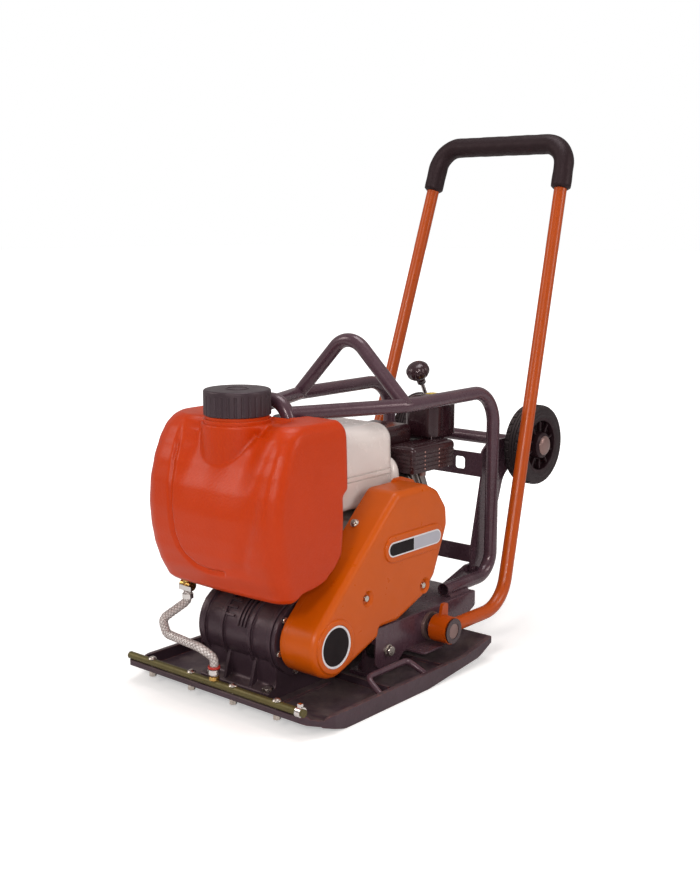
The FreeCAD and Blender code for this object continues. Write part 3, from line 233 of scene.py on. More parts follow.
material("handle_paint", (176, 70, 0), rough=0.33, mottle=0.04, grain=(360, 0.00002),
         coat=0.08, specular=0.35, wear=(120, 80, 66), wear_amount=0.25)
material("foam_grip", (26, 11, 15), rough=0.5, mottle=0.14, mottle_scale=14,
         grain=(900, 0.0003), wave=(140, 0.0003), specular=0.35)
material("chrome", (222, 220, 218), rough=0.12, metal=1.0, mottle=0.06, grain=(900, 0.00001))
material("brass", (206, 168, 96), rough=0.26, metal=1.0, mottle=0.16, mottle_scale=50,
         grain=(900, 0.00005), bevel=0.0006)
material("red_plastic", (170, 40, 26), rough=0.36, mottle=0.1)
material("badge_silver", (222, 222, 226), rough=0.4, metal=0.2, mottle=0.03,
         grain=(1200, 0.00002))
material("badge_black", (14, 10, 13), rough=0.5, mottle=0.08, specular=0.2)
material("label_yellow", (206, 176, 60), rough=0.5, mottle=0.12)
material("belt_rubber", (28, 27, 27), rough=0.7, mottle=0.2, grain=(800, 0.0002))
material("cable_black", (26, 22, 23), rough=0.45, mottle=0.15)


def tank_plastic():
    """Slightly translucent moulded plastic: mottled, scratched, with orange peel, and a painted
    highlight of lighter orange along its rounded edges.
    """
    s = Shader("tank_plastic")
    colour = srgb(186, 54, 1)
    base = s.mix(s.remap(s.noise(scale=6, detail=5, rough=0.6), span=(0.3, 0.7)),
                 shade(colour, 0.95), shade(colour, 1.05))
    grains = s.noise(scale=160, detail=5, rough=0.7)
    base = s.mix(s.remap(grains, span=(0.5, 0.85), to=(0, 0.14)), base, srgb(214, 84, 34))
    scratches = s.noise(scale=28, detail=8, rough=0.75, stretch=(1.0, 1.0, 9.0), distortion=1.2)
    base = s.mix(s.remap(scratches, span=(0.70, 0.78), to=(0, 0.14)), base, srgb(226, 120, 76))
    # painted highlight: the rounded edges are mixed up to a quarter of the way towards a lighter
    # orange
    edge = s.edge(radius=0.006, span=(0.01, 0.2))
    base = s.mix(s.math("MULTIPLY", edge, 0.25), base, srgb(226, 92, 36))
    roughness = s.remap(s.noise(scale=20, detail=4, rough=0.6), span=(0.3, 0.7), to=(0.33, 0.39))
    peel = s.bump(s.noise(scale=260, detail=3, rough=0.5), depth=0.00035)
    ripple = s.bump(s.noise(scale=11, detail=2, rough=0.5), depth=0.0006, normal=peel)
    s.feed_all(s.surface, {
        "Base Color": base, "Roughness": roughness, "Specular IOR Level": 0.24,
        "Subsurface Weight": 0.06, "Subsurface Radius": (0.016, 0.004, 0.002),
        "Subsurface Scale": 1.0, "Normal": ripple})


def hose_wall():
    """Pale glossy plastic."""
    s = Shader("hose_wall")
    s.feed_all(s.surface, {
        "Base Color": s.mix(s.remap(s.noise(scale=60, detail=4), span=(0.3, 0.7)),
                            srgb(196, 190, 188), srgb(226, 222, 220)),
        "Roughness": 0.22, "Coat Weight": 0.7,
        "Subsurface Weight": 0.2, "Subsurface Radius": (0.004, 0.004, 0.004)})


tank_plastic()
hose_wall()
material("hose_braid", (150, 140, 138), rough=0.5, mottle=0.2, mottle_scale=60)
material("badge_pale", (176, 178, 190), rough=0.42, metal=0.15, mottle=0.04)
material("hole_edge", (196, 150, 140), rough=0.3, metal=0.6, mottle=0.1)


# ------------------------------------------------------------------ object helpers
def link_object(name, data):
    obj = bpy.data.objects.new(name, data)
    bpy.context.scene.collection.objects.link(obj)
    return obj


def mesh_object(name, bm, material_name, smooth=True, sharp=None):
    """Object from bm; with smooth shading, edges above sharp degrees stay crisp."""
    mesh = bpy.data.meshes.new(name)
    bm.normal_update()
    bm.to_mesh(mesh)
    bm.free()
    obj = link_object(name, mesh)
    mesh.materials.append(MATERIALS[material_name])
    if smooth:
        mesh.shade_smooth()
    if sharp:
        mesh.set_sharp_from_angle(angle=math.radians(sharp))
    return obj


def attach(obj, body, replaces=None):
    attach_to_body(obj, body)
    if replaces:
        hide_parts(replaces)


def add_piece(name, bm, material_name, body, slot, replaces=None, **shading):
    attach(mesh_object(name, bm, material_name, **shading), body, replaces)


def box_middle(name):
    low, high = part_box(name)
    return [(a + b) / 2 for a, b in zip(low, high)]


# ------------------------------------------------------------------ mesh helpers
def turn(step, steps):
    return 2 * math.pi * step / steps


def polar(radius, angle):
    return radius * math.cos(angle), radius * math.sin(angle)


def smooth_step(start, end, value):
    t = max(0.0, min(1.0, (value - start) / (end - start)))
    return t * t * (3 - 2 * t)


def recalc(bm):
    bmesh.ops.recalc_face_normals(bm, faces=bm.faces)


def bridge(bm, rings):
    """Quads between neighbouring closed rings."""
    count = len(rings[0])
    for a, b in zip(rings, rings[1:]):
        for k in range(count):
            after = (k + 1) % count
            bm.faces.new((a[k], a[after], b[after], b[k]))


def skin(bm, rings, cap_start=True):
    bridge(bm, rings)
    if cap_start:
        bm.faces.new(list(reversed(rings[0])))
    bm.faces.new(rings[-1])


def loft(bm, levels, cap_start=True):
    """Skin over levels of (z, outline points)."""
    rings = [[bm.verts.new((x, y, z)) for x, y in outline] for z, outline in levels]
    skin(bm, rings, cap_start)
    return rings


def round_rect(x0, x1, y0, y1, radius, steps=8):
    points = []
    for x, y, start in ((x0 + radius, y0 + radius, 180), (x1 - radius, y0 + radius, 270),
                        (x1 - radius, y1 - radius, 0), (x0 + radius, y1 - radius, 90)):
        for k in range(steps + 1):
            dx, dy = polar(radius, math.radians(start + 90 * k / steps))
            points.append((x + dx, y + dy))
    return points


def revolve(bm, profile, steps, place):
    """Turn a closed profile; place(first, second, angle) gives the position of a point."""
    rings = [[bm.verts.new(place(*point, turn(j, steps))) for point in profile]
             for j in range(steps)]
    count = len(profile)
    for j in range(steps):
        a, b = rings[j], rings[(j + 1) % steps]
        for k in range(count):
            after = (k + 1) % count
            bm.faces.new((a[k], b[k], b[after], a[after]))
    recalc(bm)


def revolve_x(bm, profile, y, z, steps):
    """Closed (x, radius) profile turned about the X axis through y, z."""
    revolve(bm, profile, steps, lambda x, radius, angle: (
        x, y + radius * math.cos(angle), z + radius * math.sin(angle)))


def revolve_z(bm, profile, x, y, steps):
    """Closed (radius, z) profile turned about the Z axis through x, y."""
    revolve(bm, profile, steps, lambda radius, z, angle: (
        x + radius * math.cos(angle), y + radius * math.sin(angle), z))


def disc_x(bm, x0, x1, radius, y, z, steps=40, chamfer=0.0008):
    """Solid disc from x0 to x1 with both rims chamfered."""
    rings = []
    for x, ring_radius in ((x0, radius - chamfer), (x0 + chamfer, radius),
                           (x1 - chamfer, radius), (x1, radius - chamfer)):
        offsets = [polar(ring_radius, turn(k, steps)) for k in range(steps)]
        rings.append([bm.verts.new((x, y + dy, z + dz)) for dy, dz in offsets])
    skin(bm, rings)


def bevelled_box(bm, centre, size, tilt=0.0, bevel=0.0011):
    """Box tilted about Y."""
    matrix = (Matrix.Translation(centre) @ Matrix.Rotation(tilt, 4, "Y")
              @ Matrix.Diagonal((*size, 1)))
    verts = bmesh.ops.create_cube(bm, size=1.0, matrix=matrix)["verts"]
    edges = list({edge for vert in verts for edge in vert.link_edges})
    bmesh.ops.bevel(bm, geom=edges, offset=bevel, segments=2, affect="EDGES")


def rounded_path(points, radii, steps):
    """Polyline whose inner corners are rounded, one radius for each."""
    points = [Vector(point) for point in points]
    path = [points[0]]
    for before, corner, after, radius in zip(points, points[1:], points[2:], radii):
        to_before = (before - corner).normalized()
        to_after = (after - corner).normalized()
        half_angle = to_before.angle(to_after) / 2
        trim = min(radius / math.tan(half_angle), (before - corner).length * 0.49,
                   (after - corner).length * 0.49)
        radius = trim * math.tan(half_angle)
        centre = corner + (to_before + to_after).normalized() * (radius / math.sin(half_angle))
        start, end = corner + to_before * trim - centre, corner + to_after * trim - centre
        sweep_angle = start.angle(end)
        axis = start.cross(end).normalized()
        for k in range(steps + 1):
            path.append(centre + Matrix.Rotation(sweep_angle * k / steps, 3, axis) @ start)
    path.append(points[-1])
    return path


def resample(path, step):
    """Evenly spaced points along the path, and its length."""
    lengths = [0.0]
    for a, b in zip(path, path[1:]):
        lengths.append(lengths[-1] + (b - a).length)
    count = max(2, int(lengths[-1] / step))
    points = []
    j = 0
    for i in range(count + 1):
        distance = lengths[-1] * i / count
        while j < len(lengths) - 2 and lengths[j + 1] < distance:
            j += 1
        t = (distance - lengths[j]) / max(1e-9, lengths[j + 1] - lengths[j])
        points.append(path[j].lerp(path[j + 1], min(1, max(0, t))))
    return points, lengths[-1]


def path_frames(path):
    """(point, normal, binormal) along the path, carried on without twist."""
    tangents = []
    for i in range(len(path)):
        before, after = path[max(0, i - 1)], path[min(len(path) - 1, i + 1)]
        tangents.append((after - before).normalized())
    normal = tangents[0].orthogonal().normalized()
    result = []
    for point, tangent in zip(path, tangents):
        normal = (normal - tangent * normal.dot(tangent)).normalized()
        result.append((point, normal, tangent.cross(normal)))
    return result


def sweep(bm, path, radius_at, sides):
    """Closed tube; radius_at(fraction of the path, angle) gives its radius."""
    rings = []
    for i, (point, normal, binormal) in enumerate(path_frames(path)):
        ring = []
        for k in range(sides):
            angle = turn(k, sides)
            dn, db = polar(radius_at(i / (len(path) - 1), angle), angle)
            ring.append(bm.verts.new(point + normal * dn + binormal * db))
        rings.append(ring)
    skin(bm, rings)


# ------------------------------------------------------------------ CAD pieces
# material: the CAD pieces that wear it
CAD_PIECES = {
    "plate_paint": "base_plate",
    "frame_paint": "carry_loops mount_pedestals deck_plate side_tube_left side_tube_right "
                   "front_hoop lifting_hoop wheel_bracket wheel_pins",
    "black_rubber": "rubber_mounts engine_spacers",
    "spray_tube": "spray_bar",
    "zinc_plate": "spray_fasteners exciter_bolts frame_bolts guard_screws",
    "brass": "hose_barb water_valve",
    "chrome": "hose_clamps throttle_lever valve_lever",
    "cast_paint": "exciter_housing exciter_covers eccentric_weight",
    "bright_steel": "exciter_bearings exciter_shaft exciter_pulley crankshaft clutch_drum",
    "blued_steel": "pivot_stubs muffler",
    "black_gloss": "pivot_bushes air_cleaner_base air_cleaner_cover",
    "cast_alu": "engine_block cylinder_head carburettor flywheel",
    "cable_black": "spark_plug",
    "engine_black": "blower_housing starter_cover cylinder_shroud muffler_guard",
    "cap_plastic": "starter_grip fuel_cap tank_cap",
    "fuel_white": "fuel_tank",
    "belt_rubber": "drive_belt",
    "tank_plastic": "water_tank",
    "hose_wall": "water_hose",
    "guard_plastic": "belt_guard guard_back_plate",
    "badge_silver": "guard_badges",
    "handle_paint": "handle_tube",
    "foam_grip": "handle_grip",
    "tyre_rubber": "tyre_left tyre_right",
    "hub_plastic": "hub_left hub_right",
}
CAD_MATERIAL = {piece: name for name, pieces in CAD_PIECES.items() for piece in pieces.split()}


def smooth_by_angle():
    """Node group: faces smooth, edges above 32 degrees sharp; the mesh stays closed."""
    group = bpy.data.node_groups.new("smooth_by_angle", "GeometryNodeTree")
    for direction in ("INPUT", "OUTPUT"):
        group.interface.new_socket("Geometry", in_out=direction,
                                   socket_type="NodeSocketGeometry")
    new, link = group.nodes.new, group.links.new
    start = new("NodeGroupInput")
    end = new("NodeGroupOutput")
    faces = new("GeometryNodeSetShadeSmooth")
    faces.domain = "FACE"
    faces.inputs["Shade Smooth"].default_value = True
    edges = new("GeometryNodeSetShadeSmooth")
    edges.domain = "EDGE"
    edges.inputs["Shade Smooth"].default_value = False
    angle = new("GeometryNodeInputMeshEdgeAngle")
    is_sharp = new("FunctionNodeCompare")
    is_sharp.data_type = "FLOAT"
    is_sharp.operation = "GREATER_THAN"
    is_sharp.inputs[1].default_value = math.radians(32)
    link(angle.outputs[0], is_sharp.inputs[0])
    link(start.outputs[0], faces.inputs["Geometry"])
    link(faces.outputs[0], edges.inputs["Geometry"])
    link(is_sharp.outputs[0], edges.inputs["Selection"])
    link(edges.outputs[0], end.inputs[0])
    return group


def dress_cad_pieces():
    smoothing = smooth_by_angle()
    for name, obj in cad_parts.items():
        obj.data.materials.clear()
        obj.data.materials.append(MATERIALS[CAD_MATERIAL[name]])
        weld = obj.modifiers.new("weld", "WELD")
        weld.merge_threshold = 0.00002
        smooth = obj.modifiers.new("smooth", "NODES")
        smooth.node_group = smoothing


dress_cad_pieces()

# ------------------------------------------------------------------ water tank (tables in mm)
TANK_LOW, TANK_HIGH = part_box("water_tank")
CAP_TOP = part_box("tank_cap")[1].z
CAP_Y = box_middle("tank_cap")[1]
TANK_Z0, TANK_Z1, TANK_LEVELS = 200, 484, 90
TANK_SIDES = 240            # points round the plan outline
# (z, y of the front face)
TANK_FRONT = [
    (200, -231), (207, -239), (240, -254), (270, -263), (300, -268), (335, -270), (375, -267),
    (410, -258), (440, -246), (462, -233), (478, -219), (484, -209)]
# (z, y of the rear face)
TANK_REAR = [
    (200, -205), (212, -190), (218, -148), (226, -128), (241, -107), (263, -93), (300, -91),
    (358, -92), (369, -80), (465, -81), (477, -86), (484, -95)]
# (z, half width)
TANK_HALF_WIDTH = [
    (200, 146), (207, 150.5), (225, 153.5), (260, 156.5), (330, 158.6), (420, 158), (455, 157),
    (470, 154.5), (479, 150), (484, 144)]
# (x, z) lines moulded into the front: a narrow groove at -X, a broad hollow at +X
NARROW_GROOVE = [
    (-90, 474), (-81, 440), (-78, 405), (-75, 368), (-72, 326), (-69, 296), (-62, 272),
    (-50, 256), (-29, 243), (0, 237), (34, 239)]
BROAD_GROOVE = [
    (34, 239), (60, 243), (80, 256), (92, 285), (103, 318), (114, 355), (122, 390), (127, 438),
    (128, 470)]
# (radius, z) of the stepped neck, in metres
NECK_PROFILE = [
    (0.0570, 0.4765), (0.0570, 0.4832), (0.0562, 0.4840), (0.0530, 0.4840), (0.0530, 0.4888),
    (0.0498, 0.4888), (0.0498, 0.5178), (0.0450, 0.5178), (0.0450, 0.4765)]


def table_value(table, z):
    """Value at z, slightly eased between the stations."""
    if z <= table[0][0]:
        return table[0][1]
    for (z0, v0), (z1, v1) in zip(table, table[1:]):
        if z <= z1:
            t = smooth_step(z0, z1, z) * 0.35 + (z - z0) / (z1 - z0) * 0.65
            return v0 + (v1 - v0) * t
    return table[-1][1]


def tank_outline(z):
    """Plan outline at height z, counter-clockwise from the -X front corner."""
    front, rear_cut = table_value(TANK_FRONT, z), table_value(TANK_REAR, z)
    half = table_value(TANK_HALF_WIDTH, z)
    left_radius, right_radius, rear_radius = 27.0, 48.0, 11     # left is +X
    bow = 7.0
    # full depth first; the sloping underside cuts it afterwards
    rear = max(rear_cut, front + 125.0)
    corner_front = front + bow      # the middle bows out from here to front
    corners = []
    for x, y, radius, start in (
            (-half + right_radius, corner_front + right_radius, right_radius, 180),
            (half - left_radius, corner_front + left_radius, left_radius, 270),
            (half - rear_radius, rear - rear_radius, rear_radius, 0),
            (-half + rear_radius, rear - rear_radius, rear_radius, 90)):
        for k in range(13):
            dx, dy = polar(radius, math.radians(start + 90 * k / 12))
            corners.append(Vector((x + dx, y + dy, 0)))
    outline, _ = resample(corners + [corners[0]], 1.0)
    last = len(outline) - 1
    points = []
    for k in range(TANK_SIDES):
        place = k / TANK_SIDES * last
        i = int(place)
        x, y, _ = outline[i].lerp(outline[min(i + 1, last)], place - i)
        forward = max(0.0, min(1.0, (rear - y) / (rear - corner_front)))
        y -= bow * (1 - (x / half) ** 2) * smooth_step(0.55, 1.0, forward)
        points.append((x, min(y, rear_cut)))
    return points


def tank_body():
    bm = bmesh.new()
    rings = []
    for i in range(TANK_LEVELS + 1):
        z = TANK_Z0 + (TANK_Z1 - TANK_Z0) * (i / TANK_LEVELS)
        rings.append([bm.verts.new((x * MM, y * MM, z * MM)) for x, y in tank_outline(z)])
    bridge(bm, rings)
    # ends close in shrinking rings
    for ring, z, flip in ((rings[0], 199.5, True), (rings[-1], 484.4, False)):
        centre_x = sum(vert.co.x for vert in ring) / TANK_SIDES
        centre_y = sum(vert.co.y for vert in ring) / TANK_SIDES
        outer = ring
        for scale in (0.86, 0.7, 0.5, 0.3, 0.12):
            inner = [bm.verts.new((centre_x + (vert.co.x - centre_x) * scale,
                                   centre_y + (vert.co.y - centre_y) * scale, z * MM))
                     for vert in ring]
            for k in range(TANK_SIDES):
                after = (k + 1) % TANK_SIDES
                quad = (outer[k], outer[after], inner[after], inner[k])
                bm.faces.new(tuple(reversed(quad)) if flip else quad)
            outer = inner
        bm.faces.new(tuple(reversed(outer)) if flip else outer)
    recalc(bm)
    return bm


def slope_filler_recess(bm):
    """The upper middle of the front slopes back, and the top drops, round the filler."""
    for vert in bm.verts:
        x, y, z = vert.co.x / MM, vert.co.y / MM, vert.co.z / MM
        if y < -120:
            depth = max(0.0, min(1.0, (-125 - y) / 45))
            if x < -10:
                across = smooth_step(-92, -40, x) * 0.72
            else:
                across = 0.72 + 0.28 * smooth_step(-10, 40, x)
            across *= 1 - smooth_step(60, 126, x)
            vert.co.y += 34 * smooth_step(330, 475, z) * across * depth * MM
            if z > 462:
                vert.co.z -= 9 * MM * across * depth


def apply_modifiers(obj):
    depsgraph = bpy.context.evaluated_depsgraph_get()
    depsgraph.update()
    mesh = bpy.data.meshes.new_from_object(obj.evaluated_get(depsgraph))
    obj.modifiers.clear()
    obj.data = mesh


def boolean(obj, other, operation):
    modifier = obj.modifiers.new("b", "BOOLEAN")
    modifier.operation = operation
    modifier.object = other
    modifier.solver = "EXACT"
    apply_modifiers(obj)
    bpy.data.objects.remove(other)


def rear_channel():
    """Cutter for the channel that clears the frame hoop."""
    bm = bmesh.new()
    bmesh.ops.create_cube(bm, size=1.0)
    for vert in bm.verts:
        vert.co.x *= 0.150
        vert.co.y = -0.0826 + vert.co.y * 0.086
        vert.co.z = 0.34 + vert.co.z * 0.5
    cutter = mesh_object("chan", bm, "tank_plastic")
    bm = bmesh.new()
    bm.from_mesh(cutter.data)
    bmesh.ops.bevel(bm, geom=list(bm.edges), offset=0.012, segments=4, profile=0.5,
                    affect="EDGES")
    bm.to_mesh(cutter.data)
    bm.free()
    return cutter


def filler_boss():
    bm = bmesh.new()
    offsets = [polar(0.0610, turn(k, 64)) for k in range(64)]
    loft(bm, [(z, [(dx, CAP_Y + dy) for dx, dy in offsets]) for z in (0.30, 0.4775)])
    return mesh_object("boss", bm, "tank_plastic")


def line_distance(x, z, line):
    nearest = 1e9
    for (x0, z0), (x1, z1) in zip(line, line[1:]):
        dx, dz = x1 - x0, z1 - z0
        t = max(0, min(1, ((x - x0) * dx + (z - z0) * dz) / (dx * dx + dz * dz)))
        nearest = min(nearest, math.hypot(x - x0 - t * dx, z - z0 - t * dz))
    return nearest


def press_grooves(mesh):
    normals = [vert.normal.copy() for vert in mesh.vertices]
    for vert, normal in zip(mesh.vertices, normals):
        x, y, z = vert.co.x / MM, vert.co.y / MM, vert.co.z / MM
        if normal.y < -0.25 and y < -170:
            narrow = 4.6 * math.exp(-(line_distance(x, z, NARROW_GROOVE) / 3.8) ** 2)
            broad = 3.6 * math.exp(-(line_distance(x, z, BROAD_GROOVE) / 13.0) ** 2)
            depth = (narrow + broad * smooth_step(236, 262, z)) * smooth_step(476, 440, z)
            vert.co += normal * (-depth * MM)
    mesh.update()


def build_tank():
    bm = tank_body()
    slope_filler_recess(bm)
    shell = mesh_object("water_tank_shell", bm, "tank_plastic")
    boolean(shell, rear_channel(), "DIFFERENCE")
    boolean(shell, filler_boss(), "UNION")
    remesh = shell.modifiers.new("rm", "REMESH")
    remesh.mode = "VOXEL"
    remesh.voxel_size = 0.0022
    apply_modifiers(shell)
    smooth = shell.modifiers.new("sm", "SMOOTH")
    smooth.factor = 0.5
    smooth.iterations = 10
    apply_modifiers(shell)
    press_grooves(shell.data)
    # keep inside the CAD box
    for vert in shell.data.vertices:
        vert.co.x = max(-TANK_HIGH.x, min(TANK_HIGH.x, vert.co.x))
        vert.co.y = max(TANK_LOW.y, vert.co.y)
    shell.data.shade_smooth()
    attach(shell, "deck", "water_tank")
    bm = bmesh.new()
    revolve_z(bm, NECK_PROFILE, 0, CAP_Y, steps=96)
    add_piece("tank_neck", bm, "tank_plastic", "deck", "tank_plastic", sharp=35)


build_tank()


# ------------------------------------------------------------------ braided hose
def build_hose():
    """Hose from the water valve down to the barb, its braid and a ring at its lower end."""
    valve_x, valve_y, _ = box_middle("water_valve")
    barb_x, barb_y, _ = box_middle("hose_barb")
    route = [(valve_x, valve_y, 0.176), (valve_x, valve_y, 0.156), (-0.116, -0.254, 0.132),
             (-0.096, -0.262, 0.112), (-0.014, -0.262, 0.106), (barb_x, barb_y, 0.090),
             (barb_x, barb_y, 0.059)]
    path = rounded_path(route, [.011, .014, .014, .022, .014], steps=8)
    path, length = resample(path, 0.002)
    for _ in range(3):
        inner = [(a + b * 2 + c) / 4 for a, b, c in zip(path, path[1:], path[2:])]
        path = [path[0]] + inner + [path[-1]]

    bm = bmesh.new()
    sweep(bm, path, lambda t, angle: 0.0068 + 0.00012 * math.sin(angle * 10 + t * 90), sides=28)
    add_piece("hose_wall", bm, "hose_wall", "base", "hose", "water_hose")

    braid_radius, strand_radius, half_lay = 0.0071, 0.00050, 0.020
    strands = 6             # each way round
    bm = bmesh.new()
    stations = path_frames(path)
    for direction in (1, -1):
        for k in range(strands):
            points = []
            for i, (point, normal, binormal) in enumerate(stations):
                travel = direction * (i / (len(stations) - 1)) * length / half_lay * math.pi
                dn, db = polar(braid_radius, turn(k, strands) + travel)
                points.append(point + normal * dn + binormal * db)
            sweep(bm, points, lambda t, angle: strand_radius, sides=5)
    add_piece("hose_braid", bm, "hose_braid", "base", "hose")

    # (radius, z)
    ring = [(0.0100, 0.0715), (0.0104, 0.0720), (0.0104, 0.0752), (0.0100, 0.0757),
            (0.0076, 0.0757), (0.0076, 0.0715)]
    bm = bmesh.new()
    revolve_z(bm, ring, barb_x, barb_y, steps=40)
    add_piece("hose_end_ring", bm, "red_plastic", "base", "hose", sharp=40)


build_hose()


# ------------------------------------------------------------------ foam grip
def build_grip():
    """Foam over the top bar of the handle and the upper ends of its two legs."""
    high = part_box("handle_grip")[1]
    top = Vector((0.151, high.y - 0.020, high.z - 0.020))
    leg_foot = top + Vector((0.044, -0.2687, -0.875))
    foot_z, foam_end_z = 0.080, 0.866
    foam_end = leg_foot.lerp(top, (foam_end_z - foot_z) / (top.z - foot_z))
    points = [foam_end, top] + [Vector((-p.x, p.y, p.z)) for p in (top, foam_end)]
    path, length = resample(rounded_path(points, [.062, .062], steps=16), 0.004)
    end_round = 0.006

    def radius_at(t, angle):
        radius = 0.0198
        from_end = min(t, 1 - t) * length
        if from_end < end_round:
            radius = 0.0150 + 0.0048 * math.sqrt(max(0, 1 - (1 - from_end / end_round) ** 2))
        return radius + 0.00035 * math.sin(t * 61 + angle * 2) * math.sin(t * 23)

    bm = bmesh.new()
    sweep(bm, path, radius_at, sides=48)
    add_piece("grip_foam", bm, "foam_grip", "handle", "foam", "handle_grip")


build_grip()

# ------------------------------------------------------------------ wheels
# (fraction of the half width, radius), one half; the other half mirrors it
TYRE_HALF = [
    (-0.90, 0.056), (-1.0, 0.060), (-1.0, 0.064), (-0.97, 0.0655), (-1.0, 0.067),
    (-1.0, 0.0715), (-0.95, 0.0745), (-0.86, 0.0772), (-0.74, 0.0790), (-0.60, 0.0797),
    (-0.52, 0.0800), (-0.36, 0.0800), (-0.33, 0.0780), (-0.27, 0.0780), (-0.24, 0.0800),
    (-0.04, 0.0800), (-0.02, 0.0780)]
TYRE_PROFILE = TYRE_HALF + [(-x, radius) for x, radius in reversed(TYRE_HALF)]
# (distance outward from the wheel's middle, radius)
HUB_CAP_PROFILE = [
    (0.0326, 0.0002), (0.0324, 0.005), (0.0317, 0.010), (0.0305, 0.0145), (0.0290, 0.0178),
    (0.0274, 0.0194), (0.0262, 0.0196), (0.0240, 0.0190), (0.0240, 0.0002)]
NOTCHES = 30            # round each shoulder of the tread
HUB_RIBS = 10


def build_wheel(side, outward):
    """Tyre, hub ribs and domed cap; outward is the sign of X away from the machine."""
    body = "wheel_" + side
    low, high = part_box("tyre_" + side)
    mid_x, mid_y, mid_z = box_middle("tyre_" + side)
    half = (high.x - low.x) / 2

    def tread_point(x, radius, angle):
        if radius > 0.0785 and abs(x - mid_x) > 0.36 * half - 1e-6:
            if (angle / (2 * math.pi) * NOTCHES) % 1.0 < 0.24:
                radius -= 0.0022
        dy, dz = polar(radius, angle)
        return (x, mid_y + dy, mid_z + dz)

    bm = bmesh.new()
    revolve(bm, [(mid_x + x * half, radius) for x, radius in TYRE_PROFILE], 240, tread_point)
    add_piece(f"tyre_{side}_tread", bm, "tyre_rubber", body, "tyre", "tyre_" + side, sharp=40)

    bm = bmesh.new()
    for k in range(HUB_RIBS):
        matrix = (Matrix.Translation((mid_x + outward * 0.0122, mid_y, mid_z))
                  @ Matrix.Rotation(turn(k, HUB_RIBS), 4, "X")
                  @ Matrix.Translation((0, 0, 0.0385))
                  @ Matrix.Diagonal((0.0085, 0.0045, 0.019, 1)))
        bmesh.ops.create_cube(bm, size=1.0, matrix=matrix)
    bmesh.ops.bevel(bm, geom=list(bm.edges), offset=0.0009, segments=2, affect="EDGES")
    add_piece(f"hub_{side}_ribs", bm, "hub_plastic", body, "hubs", sharp=40)

    bm = bmesh.new()
    dome = [(mid_x + outward * distance, radius) for distance, radius in HUB_CAP_PROFILE]
    revolve_x(bm, dome, mid_y, mid_z, steps=48)
    add_piece(f"hub_{side}_cap", bm, "blued_steel", body, "zinc", sharp=50)


build_wheel("left", 1)
build_wheel("right", -1)


# ------------------------------------------------------------------ throttle lever
def build_throttle():
    """Plated stem on two pivot discs, with a ribbed ball knob."""
    pivot_radius = 0.008
    low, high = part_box("throttle_lever")
    pivot_y, pivot_z = high.y - pivot_radius, low.z + pivot_radius
    knob = Vector(((low.x + high.x) / 2, pivot_y - 0.044, pivot_z + 0.079))
    root = Vector((-0.011, pivot_y, pivot_z + 0.002))
    along = (knob - root).normalized()

    bm = bmesh.new()
    stem, _ = resample([root - along * 0.004, root + along * 0.010, root + along * 0.078], 0.003)
    sweep(bm, stem, lambda t, angle: 0.0042 + 0.0012 * math.exp(-(t * 8) ** 2), sides=20)
    disc_x(bm, -0.0168, -0.008, pivot_radius, pivot_y, pivot_z)
    disc_x(bm, -0.025, -0.0212, 0.007, pivot_y, pivot_z)
    recalc(bm)
    add_piece("throttle_stem", bm, "chrome", "throttle", "chrome", "throttle_lever", sharp=40)

    knob_radius, knob_half_height = 0.0232, 0.0172
    sides, levels, ribs = 72, 30, 12
    rotation = along.to_track_quat("Z", "Y").to_matrix()
    bm = bmesh.new()

    def knob_vert(radius, angle, z):
        return bm.verts.new(knob + rotation @ Vector((*polar(radius, angle), z)))

    rings = []
    for i in range(levels + 1):
        polar_angle = math.pi * i / levels
        radius = knob_radius * math.sin(polar_angle) ** 0.82
        if i < 6:
            radius = max(radius, 0.0088)
        rib_depth = smooth_step(0.5, 0.9, math.sin(polar_angle))
        ring = []
        for k in range(sides):
            angle = turn(k, sides)
            rib = 1 - 0.075 * (0.5 - 0.5 * math.cos(angle * ribs)) ** 3 * rib_depth
            ring.append(knob_vert(radius * rib, angle, -knob_half_height * math.cos(polar_angle)))
        rings.append(ring)
    collar = [knob_vert(0.0085, turn(k, sides), -0.0285) for k in range(sides)]
    skin(bm, [collar] + rings)
    bmesh.ops.remove_doubles(bm, verts=bm.verts, dist=1e-6)
    recalc(bm)
    add_piece("throttle_knob", bm, "black_gloss", "throttle", "black_plastic")


build_throttle()


# ------------------------------------------------------------------ badges on the belt guard
def pill_mesh(y0, y1, z, height, x0, x1, round_front=True, round_rear=True, steps=20):
    """Flat bar along Y whose ends are half round or square."""
    radius = height / 2
    outline = []
    for y, is_round, start in ((y0 + radius, round_front, 90), (y1 - radius, round_rear, -90)):
        if is_round:
            for k in range(steps + 1):
                dy, dz = polar(radius, math.radians(start + 180 * k / steps))
                outline.append((y + dy, z + dz))
        elif start == 90:
            outline += [(y0, z + radius), (y0, z - radius)]
        else:
            outline += [(y1, z - radius), (y1, z + radius)]
    bm = bmesh.new()
    back, face = [[bm.verts.new((x, y, z)) for y, z in outline] for x in (x0, x1)]
    bm.faces.new(list(reversed(back)))
    bm.faces.new(face)
    bridge(bm, [back, face])
    recalc(bm)
    return bm


